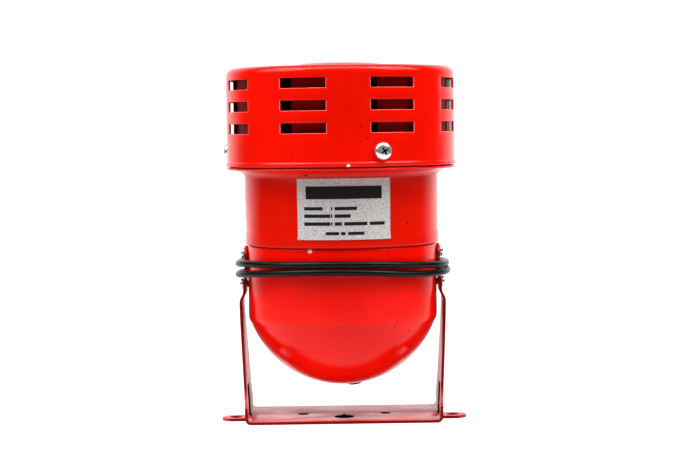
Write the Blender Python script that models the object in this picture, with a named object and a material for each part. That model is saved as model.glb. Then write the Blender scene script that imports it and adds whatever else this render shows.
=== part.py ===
"""Small mains motor siren on a U bracket, one object for each piece it comes apart into.

Metres, +Z up. The origin is on the siren's axis, under the bracket's base. -Y is the front, where
the rating label is, and the bracket's arms stand on +X and -X.
"""

import math

import bmesh
import bpy
from mathutils import Matrix, Vector

MM = 0.001

# Sheet metal and clearances, mm
SHEET = 0.8
GAP = 0.3
AROUND = 36                     # facets round a large shell

# Slotted drum, mm
DRUM_R = 43.05
DRUM_TOP = 132.7
DRUM_BOTTOM = 95.9
DRUM_EDGE_R = 2.8               # rounding between its top and its wall
LIP_R = 43.5
CROWN_TOP = 134.4
INTAKE_COUNT = 8
INTAKE_RING_R = 9.4
INTAKE_HOLE_R = 2.3
COLUMNS = 8
FIRST_COLUMN_DEG = 26.8
SLOT_HEIGHTS = (110.05, 118.2, 126.3)
SLOT_W = 17.4
SLOT_H = 3.65
DRUM_SCREW_DEG = (20.7, 140.7, -99.3)
DRUM_SCREW_Z = 101.5

# Upper housing, mm
RIM_R = 41.8                    # the rim that stands up inside the drum
RIM_TOP = 104.2
NECK_TOP_R = 36.6
NECK_R = 36.35
NECK_TOP_Z = 92.0
NECK_Z = 71.4                   # the neck's foot, where a raised bead begins
BEAD_H = 0.25
SEAM_Z = 66.4

# Lower can, mm
CAN_R = 35.8
CAN_SPIGOT_R = 35.15            # where it goes up inside the upper housing
DOME_R = 37.3
DOME_CENTRE_Z = 49.95
KNUCKLE_Z = 38.0

# Rating label, mm and degrees
LABEL_W = 34.6
LABEL_BOTTOM = 69.6
LABEL_TOP = 91.8
LABEL_CENTRE_DEG = 1.7
LABEL_T = 0.25

# Bracket, mm
STRIP_T = 1.0
STRIP_HALF_W = 20.0
FOOT_HALF = 36.85               # outer half width at the base
KNEE_HALF = 38.9                # and where the arms spread widest
TAB_HALF = 37.5                 # and at their bend back to the can
TIP_HALF = 36.95                # and where they lie against the can
KNEE_Z = 44.2
TAB_Z = 49.4
TIP_Z = 57.5
ARM_TOP = 65.8
ARM_TOP_R = 5.0                 # the narrow rounded end of an arm
TAPER = ((19.3, 6.3), (15.5, 12.5), (5.3, 60.3))    # half width and height, where an arm narrows
BEND_R = 2.2
EAR_TIP = 46.3
EAR_HOLE_X = 41.1
EAR_HOLE_R = 2.35
EAR_Y = -5.5
EAR_HALF_W = 4.7
WINDOW_TOP = 13.5
BASE_HOLE = (15.65, -0.8, 2.15)  # x, y, radius
BIG_HOLE = (-8.4, 3.8)          # y, radius
ARM_SCREW_HEIGHTS = (51.2, 62.9)

# Screws: head radius, head height, shank radius, shank length, mm
DRUM_SCREW = (3.2, 2.0, 1.5, 4.1)
ARM_SCREW = (2.1, 1.5, 1.3, 4.3)
SCREW_CLEARANCE = 0.35

# Siren rotor, mm and degrees
ROTOR_R = 40.5
ROTOR_BOTTOM = 105.0
ROTOR_TOP = 130.2
ROTOR_PORTS = 8
PORT_DEG = 21.0
FIRST_PORT_DEG = 9.1
PORT_BOTTOM = 107.4
PORT_TOP = 128.6
HUB_R = 7.0
HUB_TOP = 112.0
SHAFT_R = 3.0

# Motor, mm
PLATE_Z = 96.0
CORE_BOTTOM = 50.0
CORE_TOP = 72.0
YOKE_R = 31.5
YOKE_IN_R = 28.0
POLE_HALF_W = 7.0
SHOE_OUT_R = 20.0
SHOE_IN_R = 16.5
SHOE_HALF_DEG = 55.0
ARMATURE_R = 15.9
ARMATURE_SLOTS = 12
COMMUTATOR_R = 8.0
COMMUTATOR = (35.2, 42.4)
BOLT_X = 24.0
BOLT_R = 1.5
LOWER_CARRIER_Z = 30.0
UPPER_CARRIER_Z = 80.0
CARRIER_T = 2.0

# Cord and grommet, mm. The cord leaves the grommet, climbs the back of the can, goes twice round
# the can and the bracket's arms, and ends behind in two bare wires.
CORD_D = 2.5
CORD_POINTS = 78
GROMMET_XY = (3.9, 8.0)
RISER = (                       # x, y, z from the grommet's mouth up the back
    (3.9, 13.2, 13.3), (3.9, 18.0, 15.1), (4.1, 24.8, 19.7), (4.6, 31.2, 26.3),
    (5.5, 36.1, 34.2), (7.2, 37.1, 41.2), (9.9, 36.5, 45.9), (14.2, 34.9, 49.6), (20.0, 32.0, 52.0),
)
BOOT = ((3.9, 9.8, 12.2), (3.9, 12.9, 13.2), 1.75)     # ends of the grommet's nozzle, and its radius
WRAP_STEP_DEG = 22.5
WRAP_RADII = (37.6, 37.6, 38.0, 39.8, 39.4)    # from front or back to the side, a step apart
FIRST_TURN = (                  # height at each step, from behind on the right, the front way round
    53.6, 54.9, 56.0, 55.9, 56.1, 57.2, 57.9, 57.7, 57.0, 56.0, 55.1, 55.1, 55.3, 55.7, 56.1,
)
SECOND_TURN = (
    56.7, 57.6, 58.3, 58.6, 58.8, 59.4, 60.3, 60.6, 60.5, 60.2, 60.0, 59.2, 59.6, 60.2, 60.8, 61.2,
    61.4,
)
FIRST_TURN_START_DEG = 135.0
OUTER_AT_RIGHT = 0.5            # the first turn's extra radius over the right arm
CORE_WIRE_D = 0.9
CORE_WIRE_L = 11.0

# Colours (linear RGB), roughness, metallic
RED = ((0.86, 0.012, 0.005), 0.3, 0.0)
ROTOR_RED = ((0.55, 0.01, 0.005), 0.45, 0.0)
BRACKET_RED = ((0.62, 0.012, 0.01), 0.32, 0.0)
CHROME = ((0.8, 0.8, 0.8), 0.15, 1.0)
STEEL = ((0.5, 0.5, 0.52), 0.35, 1.0)
ZINC = ((0.62, 0.6, 0.52), 0.4, 1.0)
LABEL_SILVER = ((0.6, 0.6, 0.6), 0.4, 0.6)
BLACK_RUBBER = ((0.012, 0.012, 0.013), 0.55, 0.0)
COPPER = ((0.75, 0.25, 0.09), 0.35, 1.0)
BRASS = ((0.75, 0.5, 0.18), 0.3, 1.0)
CARBON = ((0.03, 0.03, 0.03), 0.7, 0.0)
BAKELITE = ((0.12, 0.05, 0.02), 0.5, 0.0)
BRONZE = ((0.5, 0.28, 0.1), 0.45, 1.0)
BLUE_WIRE = ((0.02, 0.08, 0.4), 0.5, 0.0)
BROWN_WIRE = ((0.16, 0.06, 0.02), 0.5, 0.0)
LAMINATION = ((0.25, 0.25, 0.27), 0.5, 1.0)


# ---- Scene and materials ----

def clear_scene():
    for item in list(bpy.data.objects):
        bpy.data.objects.remove(item, do_unlink=True)


def finish_with(item, name, finish):
    colour, roughness, metallic = finish
    material = bpy.data.materials.new(name)
    material.use_nodes = True
    shader = material.node_tree.nodes["Principled BSDF"]
    shader.inputs["Base Color"].default_value = (*colour, 1.0)
    shader.inputs["Roughness"].default_value = roughness
    shader.inputs["Metallic"].default_value = metallic
    item.data.materials.append(material)


def add_object(name, mesh, finish, parent=None):
    item = bpy.data.objects.new(name, mesh)
    bpy.context.scene.collection.objects.link(item)
    if finish:
        finish_with(item, name, finish)
    if parent:
        item.parent = parent
    return item


# ---- Shapes, drawn in mm ----

def mesh_from(name, verts, faces, smooth=True):
    mesh = bpy.data.meshes.new(name)
    mesh.from_pydata([Vector(v) * MM for v in verts], [], faces)
    bm = bmesh.new()
    bm.from_mesh(mesh)
    bmesh.ops.recalc_face_normals(bm, faces=bm.faces)
    bm.to_mesh(mesh)
    bm.free()
    if smooth:
        mesh.shade_smooth()
        mesh.set_sharp_from_angle(angle=math.radians(35))
    return mesh


def arc(centre, radius, start_deg, end_deg, steps):
    """Points on an arc, both ends included."""
    points = []
    for i in range(steps + 1):
        a = math.radians(start_deg + (end_deg - start_deg) * i / steps)
        points.append((centre[0] + radius * math.cos(a), centre[1] + radius * math.sin(a)))
    return points


def revolve(profile, around=AROUND):
    """A closed (radius, height) outline turned about Z. A point at radius 0 becomes one vertex."""
    verts, rings = [], []
    for r, z in profile:
        if r < 1e-6:
            rings.append([len(verts)] * around)
            verts.append((0.0, 0.0, z))
            continue
        rings.append(list(range(len(verts), len(verts) + around)))
        for i in range(around):
            a = math.tau * i / around
            verts.append((r * math.cos(a), r * math.sin(a), z))
    faces = []
    for j, ring in enumerate(rings):
        after = rings[(j + 1) % len(rings)]
        for i in range(around):
            k = (i + 1) % around
            corners = (ring[i], ring[k], after[k], after[i])
            face = list(dict.fromkeys(corners))
            if len(face) > 2:
                faces.append(face)
    return verts, faces


def prism(outline, low, high):
    """A flat outline in X and Y, from height low to height high."""
    n = len(outline)
    verts = [(x, y, low) for x, y in outline] + [(x, y, high) for x, y in outline]
    faces = [list(range(n))[::-1], list(range(n, 2 * n))]
    for i in range(n):
        k = (i + 1) % n
        faces.append([i, k, n + k, n + i])
    return verts, faces


def box(low, high):
    outline = ((low[0], low[1]), (high[0], low[1]), (high[0], high[1]), (low[0], high[1]))
    return prism(outline, low[2], high[2])


def placed(shape, matrix):
    """The shape moved by a matrix whose offset is in mm."""
    verts, faces = shape
    return [matrix @ Vector(v) for v in verts], faces


def gathered(shapes):
    """Several shapes as one list of vertices and faces."""
    verts, faces = [], []
    for shape_verts, shape_faces in shapes:
        start = len(verts)
        verts.extend(shape_verts)
        faces.extend([start + i for i in face] for face in shape_faces)
    return verts, faces


def piece(name, shape, finish, parent=None):
    return add_object(name, mesh_from(name, *shape), finish, parent)


def helper(name, shapes):
    """A guide for a Boolean, left out of the finished object."""
    item = add_object(name, mesh_from(name, *gathered(shapes), smooth=False), None)
    item.hide_render = True
    item.display_type = "WIRE"
    return item


def boolean(item, kind, guide):
    modifier = item.modifiers.new(kind.title() + " " + guide.name, "BOOLEAN")
    modifier.operation = kind
    modifier.solver = "EXACT"
    modifier.object = guide


def cut(item, shapes):
    boolean(item, "DIFFERENCE", helper(item.name + "_cuts", shapes))


def join(item, shapes):
    """Adds each shape to the item, one Boolean for each, because they may meet each other."""
    for i, shape in enumerate(shapes):
        boolean(item, "UNION", helper(f"{item.name}_part_{i + 1}", [shape]))


def out_from_axis(azimuth_deg, z, radius=0.0):
    """A frame whose +Z points out from the siren's axis. Azimuth 0 is the front, 90 is +X."""
    a = math.radians(azimuth_deg - 90.0)
    turn = Matrix.Rotation(a, 4, "Z") @ Matrix.Rotation(math.radians(90.0), 4, "Y")
    return Matrix.Translation((0, 0, z)) @ turn @ Matrix.Translation((0, 0, radius))


def disc_profile(radius, low, high):
    return ((0.0, low), (radius, low), (radius, high), (0.0, high))


def ring_profile(inner, outer, low, high):
    return ((inner, low), (outer, low), (outer, high), (inner, high))


# ---- Slotted drum and its screws ----

def drum_profile():
    wall_in = DRUM_R - SHEET
    corner = (DRUM_R - DRUM_EDGE_R, DRUM_TOP - DRUM_EDGE_R)
    outside = [(0.0, CROWN_TOP), (14.2, CROWN_TOP), (16.4, 133.9), (20.5, DRUM_TOP)]
    outside += arc(corner, DRUM_EDGE_R, 90, 0, 3)
    outside += [(DRUM_R, 98.4), (LIP_R, 97.3), (LIP_R, DRUM_BOTTOM + 0.2), (43.1, DRUM_BOTTOM)]
    inside = [(42.75, DRUM_BOTTOM + 0.3), (wall_in, 98.4)]
    inside += arc(corner, DRUM_EDGE_R - SHEET, 0, 90, 2)
    top_in = DRUM_TOP - SHEET
    inside += [(20.5, top_in), (16.1, 133.1), (13.8, CROWN_TOP - SHEET)]
    inside += [(0.0, CROWN_TOP - SHEET)]
    return outside + inside


def slot_cuts():
    cuts = []
    for i in range(COLUMNS):
        azimuth = FIRST_COLUMN_DEG + i * 360.0 / COLUMNS
        for z in SLOT_HEIGHTS:
            half_h, half_w = SLOT_H / 2, SLOT_W / 2
            slot = box((-half_h, -half_w, 36.5), (half_h, half_w, 47.0))
            cuts.append(placed(slot, out_from_axis(azimuth, z)))
    return cuts


def intake_cuts():
    cuts = []
    for i in range(INTAKE_COUNT):
        a = math.tau * (i + 0.5) / INTAKE_COUNT
        place = (INTAKE_RING_R * math.cos(a), INTAKE_RING_R * math.sin(a), 0)
        hole = revolve(disc_profile(INTAKE_HOLE_R, 131.0, 137.0), 10)
        cuts.append(placed(hole, Matrix.Translation(place)))
    return cuts


def drum_screw_holes(inner, outer):
    hole = revolve(disc_profile(DRUM_SCREW[2] + SCREW_CLEARANCE, inner, outer), 10)
    return [placed(hole, out_from_axis(azimuth, DRUM_SCREW_Z)) for azimuth in DRUM_SCREW_DEG]


def build_drum():
    drum = piece("slotted_drum", revolve(drum_profile()), RED)
    cut(drum, slot_cuts() + intake_cuts() + drum_screw_holes(40.0, 46.0))


def screw_shape(size, around):
    """A pan-head screw along +Z with its head's underside at height 0."""
    head_r, head_h, shank_r, shank_l = size
    profile = [(0.0, -shank_l), (shank_r * 0.75, -shank_l), (shank_r, 0.6 - shank_l), (shank_r, 0.0)]
    profile += [(head_r, 0.0), (head_r, head_h * 0.4), (head_r * 0.88, head_h * 0.75)]
    profile += [(head_r * 0.6, head_h), (0.0, head_h)]
    return revolve(profile, around)


def build_drum_screws():
    for i, azimuth in enumerate(DRUM_SCREW_DEG):
        frame = out_from_axis(azimuth, DRUM_SCREW_Z, DRUM_R + 0.2)
        piece(f"drum_screw_{i + 1}", placed(screw_shape(DRUM_SCREW, 12), frame), CHROME)


# ---- Upper housing, label and lower can ----

def housing_profile():
    outside = [(RIM_R, RIM_TOP), (RIM_R, 95.6), (43.0, 95.6), (43.2, 95.2), (43.0, 94.8)]
    outside += [(40.5, 94.5), (38.3, 94.0), (37.1, 93.2), (NECK_TOP_R, NECK_TOP_Z), (NECK_R, NECK_Z)]
    outside += [(NECK_R + BEAD_H, 70.4), (NECK_R + BEAD_H, 67.4), (36.2, SEAM_Z)]
    inside = [(35.6, SEAM_Z), (NECK_R - SHEET, 67.4), (NECK_R - SHEET, NECK_Z)]
    inside += [(NECK_TOP_R - SHEET, NECK_TOP_Z), (36.4, 93.7), (37.9, 94.6), (40.0, 95.2)]
    inside += [(RIM_R - SHEET, 95.8), (RIM_R - SHEET, RIM_TOP)]
    return outside + inside


def build_upper_housing():
    housing = piece("upper_housing", revolve(housing_profile()), RED)
    cut(housing, drum_screw_holes(39.0, 45.0))


def wall_radius(z):
    """The upper housing's outer radius at height z, on its tapered wall and its bead."""
    if z < NECK_Z:
        return NECK_R + BEAD_H
    return NECK_R + (NECK_TOP_R - NECK_R) * (z - NECK_Z) / (NECK_TOP_Z - NECK_Z)


def build_label():
    """A thin plate that follows the wall, a little off centre as it was stuck on."""
    columns = 8
    half_deg = math.degrees(LABEL_W / 2 / NECK_R)
    verts = []
    for z in (LABEL_BOTTOM, NECK_Z + 0.1, LABEL_TOP):
        for layer in (GAP, GAP + LABEL_T):
            r = wall_radius(z) + layer
            for i in range(columns + 1):
                a = math.radians(LABEL_CENTRE_DEG + half_deg * (2.0 * i / columns - 1.0))
                verts.append((r * math.sin(a), -r * math.cos(a), z))
    row = columns + 1
    faces = []
    for level in (0, 2):
        for i in range(columns):
            for start in (level * row, (level + 1) * row):
                faces.append([start + i, start + i + 1, start + 2 * row + i + 1, start + 2 * row + i])
        for i in (0, columns):
            start = level * row + i
            faces.append([start, start + row, start + 3 * row, start + 2 * row])
    for start in (0, 4 * row):
        for i in range(columns):
            faces.append([start + i, start + i + 1, start + row + i + 1, start + row + i])
    piece("rating_label", (verts, faces), LABEL_SILVER)


def dome_arc(radius, steps):
    """From the knuckle to the bottom, on a circle about the dome's centre."""
    top = math.degrees(math.asin((KNUCKLE_Z - 1.6 - DOME_CENTRE_Z) / radius))
    points = arc((0.0, DOME_CENTRE_Z), radius, top, -90.0, steps)
    return points[:-1] + [(0.0, DOME_CENTRE_Z - radius)]


def can_profile():
    inner_spigot = CAN_SPIGOT_R - SHEET
    outside = [(CAN_SPIGOT_R, 72.0), (CAN_SPIGOT_R, 66.6), (35.6, 66.0), (CAN_R, 65.5)]
    outside += [(CAN_R, KNUCKLE_Z + 1.0), (35.5, KNUCKLE_Z)] + dome_arc(DOME_R, 8)
    inside = dome_arc(DOME_R - SHEET, 5)[::-1]
    inside += [(CAN_R - SHEET, KNUCKLE_Z + 0.8), (CAN_R - SHEET, 65.2)]
    inside += [(inner_spigot, 66.2), (inner_spigot, 72.0)]
    return outside + inside


def arm_screw_holes(radius, inner, outer):
    hole = revolve(disc_profile(radius, inner, outer), 10)
    return [
        placed(hole, out_from_axis(azimuth, z)) for azimuth in (90, -90) for z in ARM_SCREW_HEIGHTS
    ]


def grommet_frame():
    """A frame on the dome at the cord's exit, with +Z pointing into the can."""
    x, y = GROMMET_XY
    drop = math.sqrt(DOME_R ** 2 - x * x - y * y)
    place = Vector((x, y, DOME_CENTRE_Z - drop))
    inwards = Vector((-x, -y, drop)).normalized()
    return Matrix.Translation(place) @ inwards.to_track_quat("Z", "Y").to_matrix().to_4x4()


def build_lower_can():
    can = piece("lower_can", revolve(can_profile()), RED)
    grommet_hole = placed(revolve(disc_profile(3.4, -3.0, 4.0), 16), grommet_frame())
    screw_hole = ARM_SCREW[2] + SCREW_CLEARANCE
    cut(can, arm_screw_holes(screw_hole, 33.0, 39.0) + [grommet_hole])


# ---- Bracket ----

def strip_outline():
    """The right half of the strip seen from the front, as (x, z): its outside, then its inside."""
    bend = (FOOT_HALF - BEND_R, BEND_R)
    outside = arc(bend, BEND_R, -90, 0, 4)
    outside += [(KNEE_HALF, KNEE_Z), (KNEE_HALF - 0.1, KNEE_Z + 1.2)]
    outside += [(TAB_HALF + 0.1, TAB_Z - 1.0), (TAB_HALF, TAB_Z), (TIP_HALF, TIP_Z)]
    outside.append((TIP_HALF, ARM_TOP))
    inside = [(x - STRIP_T, z) for x, z in reversed(outside[5:])]
    inside += arc(bend, BEND_R - STRIP_T, 0, -90, 3)
    return outside + inside


def strip_shape():
    """Both halves of the strip's outline, extruded along Y."""
    half = strip_outline()
    outline = half + [(-x, z) for x, z in reversed(half)]
    return placed(prism(outline, -STRIP_HALF_W, STRIP_HALF_W), Matrix.Rotation(math.pi / 2, 4, "X"))


def corner_cut(side, flip):
    """What the arm's narrow rounded top leaves out, on one side of its middle."""
    edge = STRIP_HALF_W + 2.0
    curve = list(TAPER) + arc((0.0, ARM_TOP - ARM_TOP_R), ARM_TOP_R, 0, 84, 5)
    outline = [(edge, TAPER[0][1] - 1.3)] + curve + [(curve[-1][0], ARM_TOP + 1.0), (edge, ARM_TOP + 1.0)]
    stand = Matrix(((0, 0, side, 0), (flip, 0, 0, 0), (0, 1, 0, 0), (0, 0, 0, 1)))
    return placed(prism(outline, 33.0, 41.0), stand)


def ear_shape(side):
    """A tongue lanced out of the arm and laid flat, round at its tip."""
    centre = EAR_TIP - EAR_HALF_W
    outline = [(33.2, -EAR_HALF_W)] + arc((centre, 0.0), EAR_HALF_W, -90, 90, 8)
    outline += [(33.2, EAR_HALF_W)]
    return prism([(side * x, EAR_Y + y) for x, y in outline], 0.0, STRIP_T)


def build_bracket():
    bracket = piece("bracket", strip_shape(), BRACKET_RED)
    window_half = EAR_HALF_W + GAP
    windows = []
    for side in (1, -1):
        low, high = sorted((side * 34.2, side * 40.0))
        windows.append(box((low, EAR_Y - window_half, -1.0), (high, EAR_Y + window_half, WINDOW_TOP)))
    cut(bracket, windows)
    join(bracket, [ear_shape(1), ear_shape(-1)])
    x, y, radius = BASE_HOLE
    round_hole = revolve(disc_profile(radius, -1.0, 2.0), 16)
    ear_hole = revolve(disc_profile(EAR_HOLE_R, -1.0, 2.0), 16)
    big_hole = revolve(disc_profile(BIG_HOLE[1], -1.0, 2.0), 24)
    more = [placed(big_hole, Matrix.Translation((0, BIG_HOLE[0], 0)))]
    for side in (1, -1):
        more.append(placed(round_hole, Matrix.Translation((side * x, y, 0))))
        more.append(placed(ear_hole, Matrix.Translation((side * EAR_HOLE_X, EAR_Y, 0))))
    screw_hole = ARM_SCREW[2] + SCREW_CLEARANCE
    more += arm_screw_holes(screw_hole, 34.0, 40.0)
    boolean(bracket, "DIFFERENCE", helper("bracket_holes", more))
    corners = [corner_cut(side, flip) for side in (1, -1) for flip in (1, -1)]
    boolean(bracket, "DIFFERENCE", helper("bracket_corners", corners))
    notch = box((-0.5, BIG_HOLE[0] + 2.0, -1.0), (0.5, BIG_HOLE[0] + 6.1, 2.0))
    boolean(bracket, "DIFFERENCE", helper("bracket_notch", [notch]))


def build_bracket_screws():
    names = ("right_low", "right_high", "left_low", "left_high")
    spots = list(zip(ARM_SCREW_HEIGHTS, (TAB_HALF, TIP_HALF)))
    places = [(azimuth, z, half) for azimuth in (90, -90) for z, half in spots]
    for name, (azimuth, z, half) in zip(names, places):
        frame = out_from_axis(azimuth, z, half + 0.15)
        piece("bracket_screw_" + name, placed(screw_shape(ARM_SCREW, 10), frame), CHROME)


# ---- Cord and grommet ----

def wrap_radius(azimuth_deg):
    """How far out the cord's middle lies, on the same rounded outline all four ways."""
    step = abs((azimuth_deg + 90.0) % 180.0 - 90.0) / WRAP_STEP_DEG
    return WRAP_RADII[round(step)]


def wrap_points():
    heights = FIRST_TURN + SECOND_TURN
    points = []
    for i, z in enumerate(heights):
        azimuth = FIRST_TURN_START_DEG - i * WRAP_STEP_DEG
        radius = wrap_radius(azimuth)
        if i < len(FIRST_TURN) and 60.0 < azimuth < 120.0:
            radius += OUTER_AT_RIGHT
        a = math.radians(azimuth)
        points.append((radius * math.sin(a), -radius * math.cos(a), z))
    return points


def smooth_path(points, count):
    """Evenly spaced points on a smooth curve through the given ones."""
    knots = [Vector(p) for p in points]
    knots = [knots[0] * 2 - knots[1]] + knots + [knots[-1] * 2 - knots[-2]]
    fine = []
    for i in range(1, len(knots) - 2):
        a, b, c, d = knots[i - 1:i + 3]
        for k in range(16):
            t = k / 16
            fine.append(0.5 * (2 * b + (c - a) * t + (2 * a - 5 * b + 4 * c - d) * t * t
                               + (3 * b - a - 3 * c + d) * t ** 3))
    fine.append(knots[-2])
    lengths = [0.0]
    for before, after in zip(fine, fine[1:]):
        lengths.append(lengths[-1] + (after - before).length)
    path, j = [], 0
    for i in range(count):
        want = lengths[-1] * i / (count - 1)
        while j < len(fine) - 2 and lengths[j + 1] < want:
            j += 1
        part = (want - lengths[j]) / (lengths[j + 1] - lengths[j])
        path.append(fine[j].lerp(fine[j + 1], min(part, 1.0)))
    return path


def tube(name, path, diameter, sides, finish):
    curve = bpy.data.curves.new(name, "CURVE")
    curve.dimensions = "3D"
    curve.bevel_depth = diameter / 2 * MM
    curve.bevel_resolution = sides
    curve.use_fill_caps = True
    spline = curve.splines.new("POLY")
    spline.points.add(len(path) - 1)
    for point, place in zip(spline.points, path):
        point.co = (*(Vector(place) * MM), 1.0)
    return add_object(name, curve, finish)


def build_cord():
    path = smooth_path(list(RISER) + wrap_points(), CORD_POINTS)
    tube("power_cord", path, CORD_D, 2, BLACK_RUBBER)
    ahead = (path[-1] - path[-2]).normalized()
    aside = Vector((0, 0, 1))
    for name, way, finish in (("live", 1, BROWN_WIRE), ("neutral", -1, BLUE_WIRE)):
        start = path[-1] + ahead * GAP + aside * way * 0.62
        bend = start + ahead * CORE_WIRE_L * 0.5 + aside * way * 0.4
        end = start + ahead * CORE_WIRE_L + aside * way * 1.6
        wire = smooth_path([start, bend, end], 5)
        tube("cord_wire_" + name, wire, CORE_WIRE_D, 1, finish)


def build_grommet():
    """A rubber grommet clipped in the dome, with a boot that turns the cord towards the back."""
    profile = [(0.0, -1.9), (3.3, -1.9), (3.7, -1.5), (4.3, -0.7), (4.3, -0.35), (3.0, -0.35)]
    profile += [(3.0, 1.7), (4.4, 1.9), (3.6, 3.0), (0.0, 3.0)]
    grommet = piece("cable_grommet", placed(revolve(profile, 16), grommet_frame()), BLACK_RUBBER)
    first, last = (Vector(end) for end in BOOT[:2])
    nozzle = revolve(disc_profile(BOOT[2], 0.0, (last - first).length), 12)
    turn = (last - first).to_track_quat("Z", "Y").to_matrix().to_4x4()
    join(grommet, [placed(nozzle, Matrix.Translation(first) @ turn)])


# ---- Motor: fixed pieces ----

def hole_at(x, y, radius, low, high, around=12):
    return placed(revolve(disc_profile(radius, low, high), around), Matrix.Translation((x, y, 0)))


def bolt_holes(low, high):
    return [hole_at(side * BOLT_X, 0.0, BOLT_R + GAP, low, high) for side in (1, -1)]


def build_motor_plate():
    plate = piece("motor_plate", revolve(ring_profile(8.5, 40.4, PLATE_Z, PLATE_Z + 1.2), 24), ZINC)
    cut(plate, bolt_holes(94.0, 99.0))


def carrier(name, low, length, boss, finish=ZINC):
    """A cross bar with a boss for a bush, clamped by the two through bolts."""
    end_r = 4.0
    reach = length - end_r
    outline = arc((reach, 0.0), end_r, -90, 90, 6) + arc((-reach, 0.0), end_r, 90, 270, 6)
    bar = piece(name, prism(outline, low, low + CARRIER_T), finish)
    join(bar, [revolve(disc_profile(7.0, boss[0], boss[1]), 16)])
    bore = hole_at(0.0, 0.0, 5.4, boss[0] - 1.0, boss[1] + 1.0, 20)
    boolean(bar, "DIFFERENCE", helper(name + "_holes", bolt_holes(low - 1, low + 3) + [bore]))


def build_carriers():
    carrier("lower_bearing_carrier", LOWER_CARRIER_Z, 27.8, (27.0, 33.4))
    carrier("upper_bearing_carrier", UPPER_CARRIER_Z, 29.6, (79.0, 87.0))
    for name, low, high in (("lower_bush", 27.2, 33.2), ("upper_bush", 79.2, 86.8)):
        piece(name, revolve(ring_profile(SHAFT_R + 0.1, 5.0, low, high), 20), BRONZE)


def hex_nut(name, place, radius, bore, low, high, parent=None):
    outline = arc((0, 0), radius, 0, 300, 5)
    nut = piece(name, placed(prism(outline, low, high), place), STEEL, parent)
    cut(nut, [placed(revolve(disc_profile(bore, low - 1.0, high + 1.0), 12), place)])


def build_through_bolts():
    for name, side in (("right", 1), ("left", -1)):
        top = PLATE_Z + 1.2 + GAP
        head = ((0.0, 26.4), (BOLT_R, 26.4), (BOLT_R, top), (2.9, top), (2.9, top + 1.8), (0.0, top + 1.8))
        place = Matrix.Translation((side * BOLT_X, 0, 0))
        piece("through_bolt_" + name, placed(revolve(head, 12), place), STEEL)
        hex_nut("bolt_nut_" + name, place, 2.9, BOLT_R + 0.2, 27.6, LOWER_CARRIER_Z - GAP)


def field_outline():
    """One pole of the field core, in the +Y half: yoke, pole neck and shoe."""
    neck = math.degrees(math.asin(POLE_HALF_W / YOKE_IN_R))
    root = math.degrees(math.asin(POLE_HALF_W / SHOE_OUT_R))
    points = arc((0, 0), YOKE_IN_R, 0, 90 - neck, 6)
    points += arc((0, 0), SHOE_OUT_R, 90 - root, 90 - SHOE_HALF_DEG, 3)
    points += arc((0, 0), SHOE_IN_R, 90 - SHOE_HALF_DEG, 90 + SHOE_HALF_DEG, 10)
    points += arc((0, 0), SHOE_OUT_R, 90 + SHOE_HALF_DEG, 90 + root, 3)
    points += arc((0, 0), YOKE_IN_R, 90 + neck, 180, 6)
    return points


def build_field_core():
    inner = field_outline()[:-1]
    inner += [(-x, -y) for x, y in inner]
    outer = arc((0, 0), YOKE_R, 0, 360, 36)[:-1]
    core = piece("field_core", prism(outer, CORE_BOTTOM, CORE_TOP), LAMINATION)
    cut(core, [prism(inner, CORE_BOTTOM - 1.0, CORE_TOP + 1.0)])


def build_field_coils():
    """A wound loop round each pole, between its shoe and the yoke."""
    for name, side in (("front", -1), ("back", 1)):
        out_x, in_x = 12.6, POLE_HALF_W + GAP
        low, high = CORE_BOTTOM - 5.2, CORE_TOP + 5.2
        low_in, high_in = CORE_BOTTOM - GAP, CORE_TOP + GAP
        near, far = 20.4, 24.2
        coil = placed(box((-out_x, near, low), (out_x, far, high)), Matrix.Scale(side, 4, (0, 1, 0)))
        window = box((-in_x, near - 2, low_in), (in_x, far + 2, high_in))
        item = piece("field_coil_" + name, coil, COPPER)
        bevel = item.modifiers.new("Rounded loop", "BEVEL")
        bevel.width = 1.2 * MM
        bevel.segments = 2
        bevel.limit_method = "ANGLE"
        cut(item, [placed(window, Matrix.Scale(side, 4, (0, 1, 0)))])


def build_brush_gear():
    low, high = 36.4, 41.4
    for name, side in (("right", 1), ("left", -1)):
        def mirrored(shape):
            return placed(shape, Matrix.Scale(side, 4, (1, 0, 0)))
        holder = piece(
            f"brush_holder_{name}",
            mirrored(box((10.8, -4.0, LOWER_CARRIER_Z + CARRIER_T + GAP), (19.6, 4.0, 42.9))),
            BAKELITE,
        )
        cut(holder, [mirrored(box((9.0, -2.4, low), (18.4, 2.4, high)))])
        brush = box((COMMUTATOR_R + GAP, -2.1, low + GAP), (14.0, 2.1, high - GAP))
        piece(f"brush_{name}", mirrored(brush), CARBON)
        coils = []
        for i in range(33):
            a = math.tau * i / 8
            middle = (low + high) / 2
            coils.append((14.6 + 3.2 * i / 32, 1.25 * math.cos(a), middle + 1.25 * math.sin(a)))
        spring = [(side * x, y, z) for x, y, z in coils]
        tube(f"brush_spring_{name}", spring, 0.36, 0, STEEL)


def build_motor_leads():
    """From the cord's grommet to each brush holder, and one from the cord to the front coil."""
    start = grommet_frame() @ Vector((0, 0, 4.0))
    for name, offset, end, finish in (
        ("live", 0.9, (15.0, 5.0, 34.5), BROWN_WIRE),
        ("neutral", -0.9, (-15.0, 5.0, 34.5), BLUE_WIRE),
    ):
        first = start + Vector((offset, 0, 0))
        rise = first + Vector((offset * 2.0, 1.5, 2.5))
        middle = Vector((end[0] * 0.75, 10.5, 26.5))
        near = Vector((end[0], 9.0, 32.5))
        tube("motor_lead_" + name, smooth_path([first, rise, middle, near, end], 14), 1.2, 1, finish)


# ---- Moving pieces: they turn together about the siren's axis ----

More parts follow.
